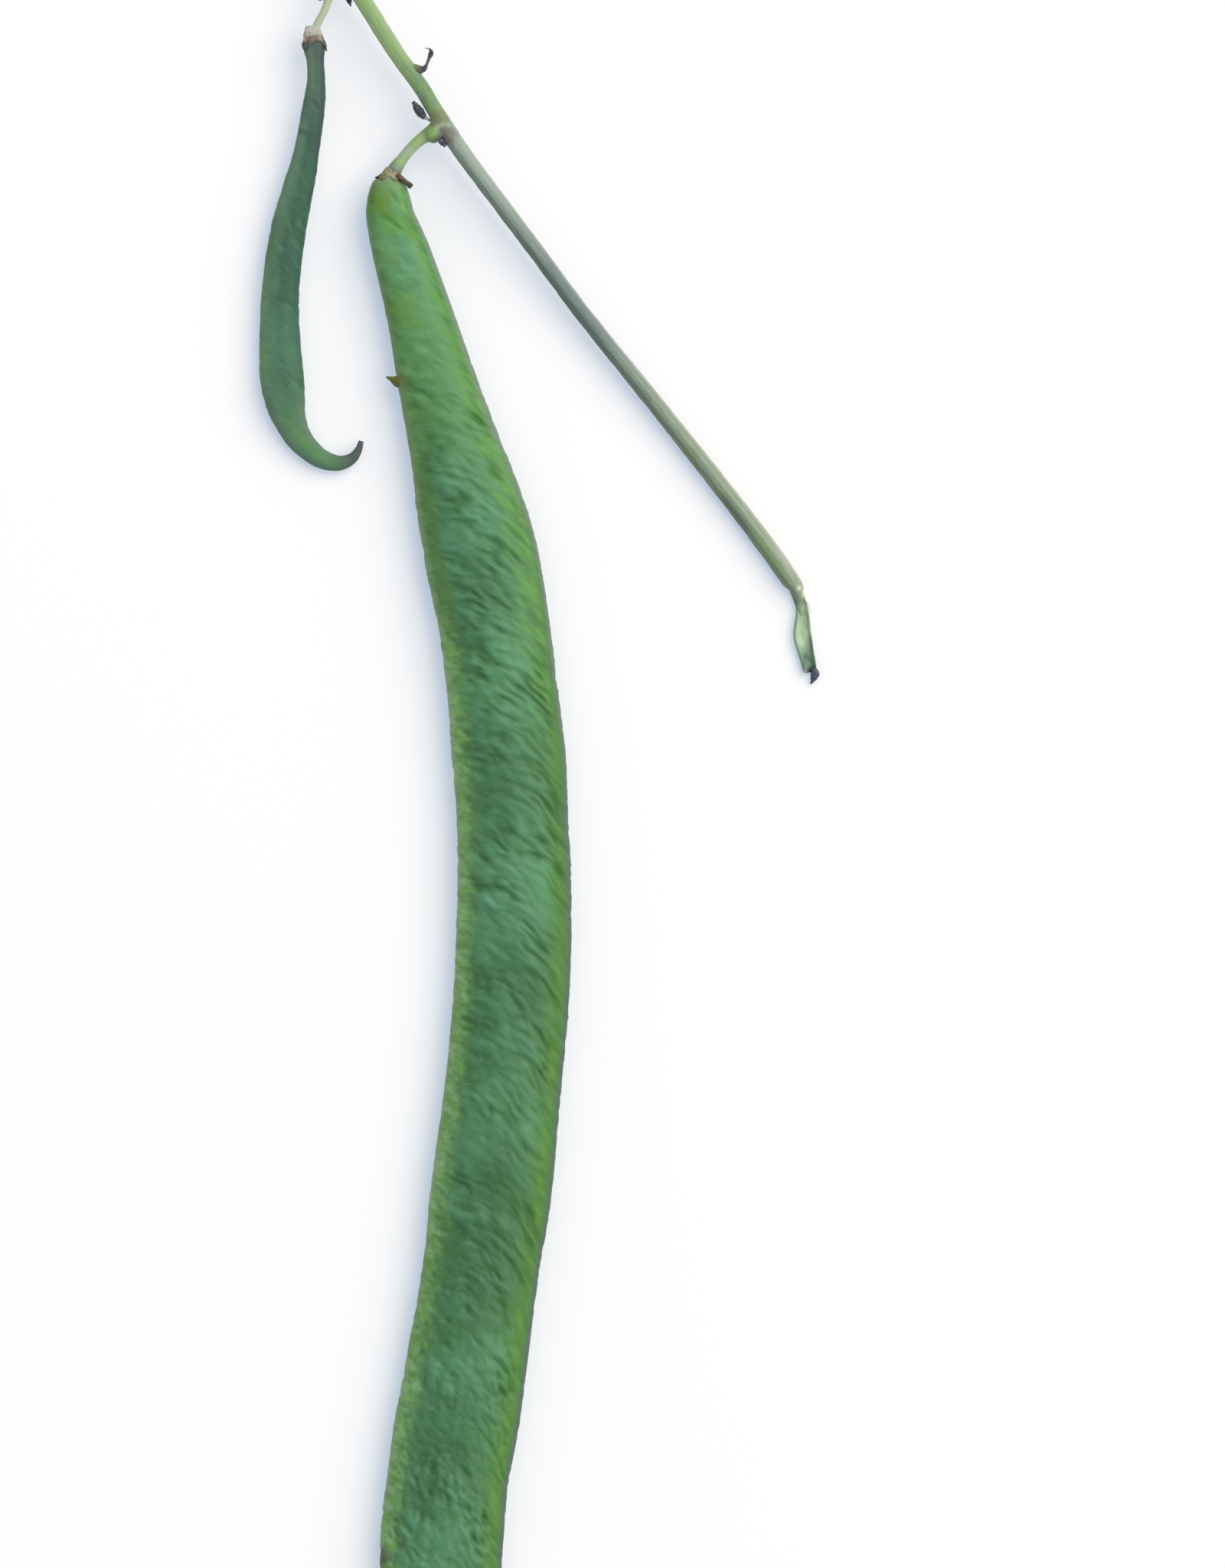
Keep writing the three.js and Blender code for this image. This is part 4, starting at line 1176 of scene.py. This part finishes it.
withered(
    "dry_flower_bud", bud_finish, "withered_flower",
    [(-18.6, 125.5, 6.0), (-19.8, 126.0, 6.1), (-20.5, 126.8, 6.2), (-21.2, 127.7, 6.3),
     (-21.9, 128.8, 6.4)],
    [(0, 0.3), (0.9, 0.24), (1.5, 0.5), (2.4, 0.76), (3.4, 0.72), (4.4, 0.35)],
    seed=53, steps=12, nodes=["dry_bud"],
)

# %% [markdown]
# ## The torn end
#
# The stalk was pulled off the plant. A strip of its skin came along and has dried into a shallow
# boat with dark green edges and a pale middle, ending in a shrivelled black corner. A grid is laid
# along the strip's line, its edges are curled up, and a Solidify modifier gives it its wall.

# %% Torn strip
STRIP_POINTS = [
    (44.2, 45.4, 1.6), (45.2, 42.9, 1.45), (45.9, 40.3, 1.15), (45.95, 36.1, 0.9),
    (46.5, 33.3, 0.8), (47.0, 31.2, 0.8), (47.3, 29.6, 0.8),
]
STRIP_HALF_WIDTH = [
    (0, 1.3), (2.5, 1.2), (5, 1.15), (9.5, 1.75), (13, 1.5), (15.5, 1.3), (16.6, 1.0),
]
STRIP_WALL, STRIP_CURL, STRIP_CRUMPLE, STRIP_DIP = 0.28, 0.75, 0.08, 0.15

select_nothing()
bpy.ops.mesh.primitive_grid_add(x_subdivisions=24, y_subdivisions=96, size=2)
strip = bpy.context.object
across, ahead, _ = (vertices_of(strip) * MM).T
strip_line = Line(STRIP_POINTS)
distance = (ahead + 1) / 2 * strip_line.length
curl = STRIP_CURL * np.abs(across) ** 2.2 * smoothstep(3, 8, distance)
crumple = STRIP_CRUMPLE * uneven(61, distance / 1.4, across * 2 + 9)
outward = through(STRIP_HALF_WIDTH, distance) * across * (1 - 0.12 * np.abs(across))
lay(strip, strip_line, distance, outward, curl + crumple - STRIP_DIP)
keep_numbers(strip, along=distance, across=across)
apply_modifier(strip, "SOLIDIFY", thickness=STRIP_WALL * MM, offset=0)
apply_modifier(strip, "SUBSURF", levels=1, render_levels=1)
print(f"strip {strip_line.length:.1f} mm long")

# %% [markdown]
# The strip's inside is pale and fibrous. Its edges, its upper end and its lower third are dark
# green, and a notch crosses it where it is folded.

# %% Strip's skin
skin = Finish("torn strip", Roughness=0.6, Specular_IOR_Level=0.35)
along, over = skin.attributes("along across")
fibre = skin.flow_noise(along / 4, over * 5, 0, roughness=0.6)
edges = over.rise(0.5, 0.9) * along.rise(8.5, 11) + over.rise(-0.65, -0.95) * 0.8
gleam = over.between(0.3, 0.5, 0.6, 0.8) * along.between(8, 9, 10, 11)
notch = along - 13.2 - abs(over + 0.1) * 2.2
green = skin.mix(fibre.rise(0.35, 0.7), (0.3, 0.42, 0.24), (0.46, 0.58, 0.38))
green = skin.paint(green, [
    (edges * 0.85, (0.07, 0.13, 0.1)),
    (along.rise(8, 4) * 0.85, (0.15, 0.235, 0.12)),
    (over.rise(0, 0.7) * along.rise(9.5, 7) * 0.55, (0.27, 0.27, 0.19)),
    (gleam * 0.5, (0.55, 0.58, 0.42)),
    (along.rise(10.5, 13.5) * 0.85, (0.12, 0.2, 0.12)),
    (abs(notch).rise(0.9, 0.2) * 0.5, (0.06, 0.11, 0.07)),
    (along.rise(15.6, 16.2) * 0.6, (0.4, 0.55, 0.42)),
    (skin.near((47.7, 29.6, 0.9), 0.5, 1.6), (0.03, 0.035, 0.045)),
])
skin.close(green, fibre, 0.06)
finish_piece(strip, "torn_strip", skin, "stalk_skin")

# %% [markdown]
# ## Frayed fibres
#
# Where the strip tore off, bare fibres of the stalk's wood stand out on the right, cream white and
# as thin as threads. They are fine limbs, bent a little differently each, from one seeded draw.

# %% Fibres
FIBRE_COUNT = 8
draw = np.random.default_rng(77)
threads = []
for share in np.linspace(0, 1, FIBRE_COUNT):
    root = np.array([45.7 + 0.6 * share, 44.7 - 2.2 * share, draw.uniform(0.9, 1.7)])
    reach = draw.uniform(2.6, 4.6)
    tip = root + np.array([(0.25 + 0.2 * draw.uniform()) * reach, -reach, -0.14 * reach])
    middle = (root + tip) / 2 + np.array([draw.uniform(-0.1, 0.2), 0, 0.15])
    radius = [(0, 0.2), (0.5 * reach, 0.13), (reach, 0.06)]
    threads.append(limb([root, middle, tip], radius, steps=6))
fibres = melt(threads, voxel=0.06, smoothing=2)

skin = Finish("bare fibre", Roughness=0.7, Specular_IOR_Level=0.3)
fleck = skin.noise(skin.place(), 900, 2)
skin.feed(Base_Color=skin.mix(fleck.rise(0.35, 0.7), (0.8, 0.78, 0.64), (0.62, 0.63, 0.5)))
finish_piece(fibres, "frayed_fibres", skin, "stalk_skin")

# %% [markdown]
# ## Small dry scales and the scab
#
# Shrivelled scales stand where flowers dropped off, the torn strip ends in one, the long calyx has
# one curled lobe, and a scab stands out of the long pod's left seam. Each is a short limb,
# crumpled like the flower remains, so the same helper makes them all.

# %% Scales
scab_finish = withered_skin("scab", (0.1, 0.11, 0.022), (0.19, 0.22, 0.05), 0.8, [
    ((-26.7, 81.3, 4.4), 0.3, 1.3, (0.2, 0.17, 0.12)),
])
withered(
    "scab", scab_finish, "pod_skin",
    [(-23.7, 80.0, 4.4), (-24.8, 80.3, 4.7), (-25.8, 80.7, 4.7), (-26.6, 81.1, 4.6)],
    [(0, 1.15), (1.1, 1.0), (1.9, 0.62), (2.4, 0.34), (3.0, 0.18)], 91, 0.09,
)
purple_finish = withered_skin("withered purple", (0.07, 0.06, 0.08), (0.24, 0.22, 0.25), 0.7)
withered(
    "knee_scale", purple_finish, "stalk_skin",
    [(-17.1, 122.4, 6.1), (-16.7, 121.7, 6.1), (-16.3, 121.0, 5.9)],
    [(0, 0.7), (0.8, 0.65), (1.6, 0.25)], 92,
)
black_finish = withered_skin("withered black", (0.03, 0.027, 0.033), (0.16, 0.13, 0.13), 0.7)
withered(
    "upper_scale", black_finish, "stalk_skin",
    [(-33.3, 147.4, 6.6), (-33.0, 146.4, 6.4), (-32.7, 145.4, 6.2)],
    [(0, 0.6), (1.0, 0.5), (2.0, 0.15)], 93,
)
withered(
    "side_scale", black_finish, "stalk_skin",
    [(-36.5, 147.2, 6.8), (-37.4, 146.9, 6.9), (-38.4, 146.4, 7.0)],
    [(0, 0.5), (1.0, 0.5), (2.0, 0.15)], 94,
)
corner_finish = withered_skin("withered blue", (0.045, 0.055, 0.075), (0.15, 0.17, 0.21), 0.7)
withered(
    "strip_corner", corner_finish, "stalk_skin",
    [(47.7, 30.4, 0.9), (48.1, 29.5, 0.95), (47.9, 28.6, 0.9), (47.4, 27.6, 0.8)],
    [(0, 0.3), (0.9, 0.8), (1.8, 0.62), (2.9, 0.15)], 95, 0.06,
)
curl_finish = withered_skin("curled lobe", (0.12, 0.08, 0.05), (0.23, 0.17, 0.11), 0.6, [
    ((-22.1, 113.9, 6.9), 0.7, 1.4, (0.035, 0.05, 0.038)),
])
withered(
    "calyx_curl", curl_finish, "dry_calyx",
    [(-24.6, 116.1, 6.5), (-23.8, 115.4, 6.8), (-23.0, 114.7, 6.9), (-22.1, 113.9, 6.8)],
    [(0, 0.45), (1.1, 0.4), (2.1, 0.4), (2.9, 0.52), (3.35, 0.46)], 96, 0.02,
)

# %% [markdown]
# ## The table
#
# The beans lie on plain white. The table glows a little by itself, which keeps the open ground
# white up to the picture's corners, and what it reflects carries the soft shadows.

# %% Table
TABLE_SIZE = 4
TABLE_COLOUR = (0.665, 0.57, 0.415, 1)
TABLE_GLOW = (0.265, 0.345, 0.505, 1)
select_nothing()
bpy.ops.mesh.primitive_plane_add(size=TABLE_SIZE)
table = bpy.context.object
table.name = "table"
white = Finish("white table", Roughness=0.9, Specular_IOR_Level=0.0, Emission_Strength=1.0)
white.surface.inputs["Base Color"].default_value = TABLE_COLOUR
white.surface.inputs["Emission Color"].default_value = TABLE_GLOW
table.data.materials.append(white.material)
print("table", TABLE_SIZE, "m wide")

# %% [markdown]
# ## Light
#
# One broad soft light stands up on the right, and the pale blue sky of the room fills the
# shadows, so they come out soft and a little blue. Colours are shown as they are, with no film
# look over them.

# %% Light
KEY_FROM = (1.7, 1.2, 2.4)
KEY_SIZE, KEY_ENERGY = 3.3, 104
ROOM_COLOUR, ROOM_STRENGTH = (0.86, 0.93, 1.0, 1), 0.62
select_nothing()
bpy.ops.object.light_add(type="AREA", location=KEY_FROM)
key = bpy.context.object
key.name = "key"
key.data.shape = "SQUARE"
key.data.size = KEY_SIZE
key.data.energy = KEY_ENERGY
key.rotation_euler = (-Vector(KEY_FROM)).to_track_quat("-Z", "Y").to_euler()

room = bpy.data.worlds.new("room")
bpy.context.scene.world = room
room.use_nodes = True
background = room.node_tree.nodes["Background"]
background.inputs["Color"].default_value = ROOM_COLOUR
background.inputs["Strength"].default_value = ROOM_STRENGTH
bpy.context.scene.view_settings.view_transform = "Standard"
print("light from", KEY_FROM)

# %% [markdown]
# ## The scene brought up to date
#
# The view layer is brought up to date, so that every piece stands where it was put.

# %% Update
bpy.context.view_layer.update()
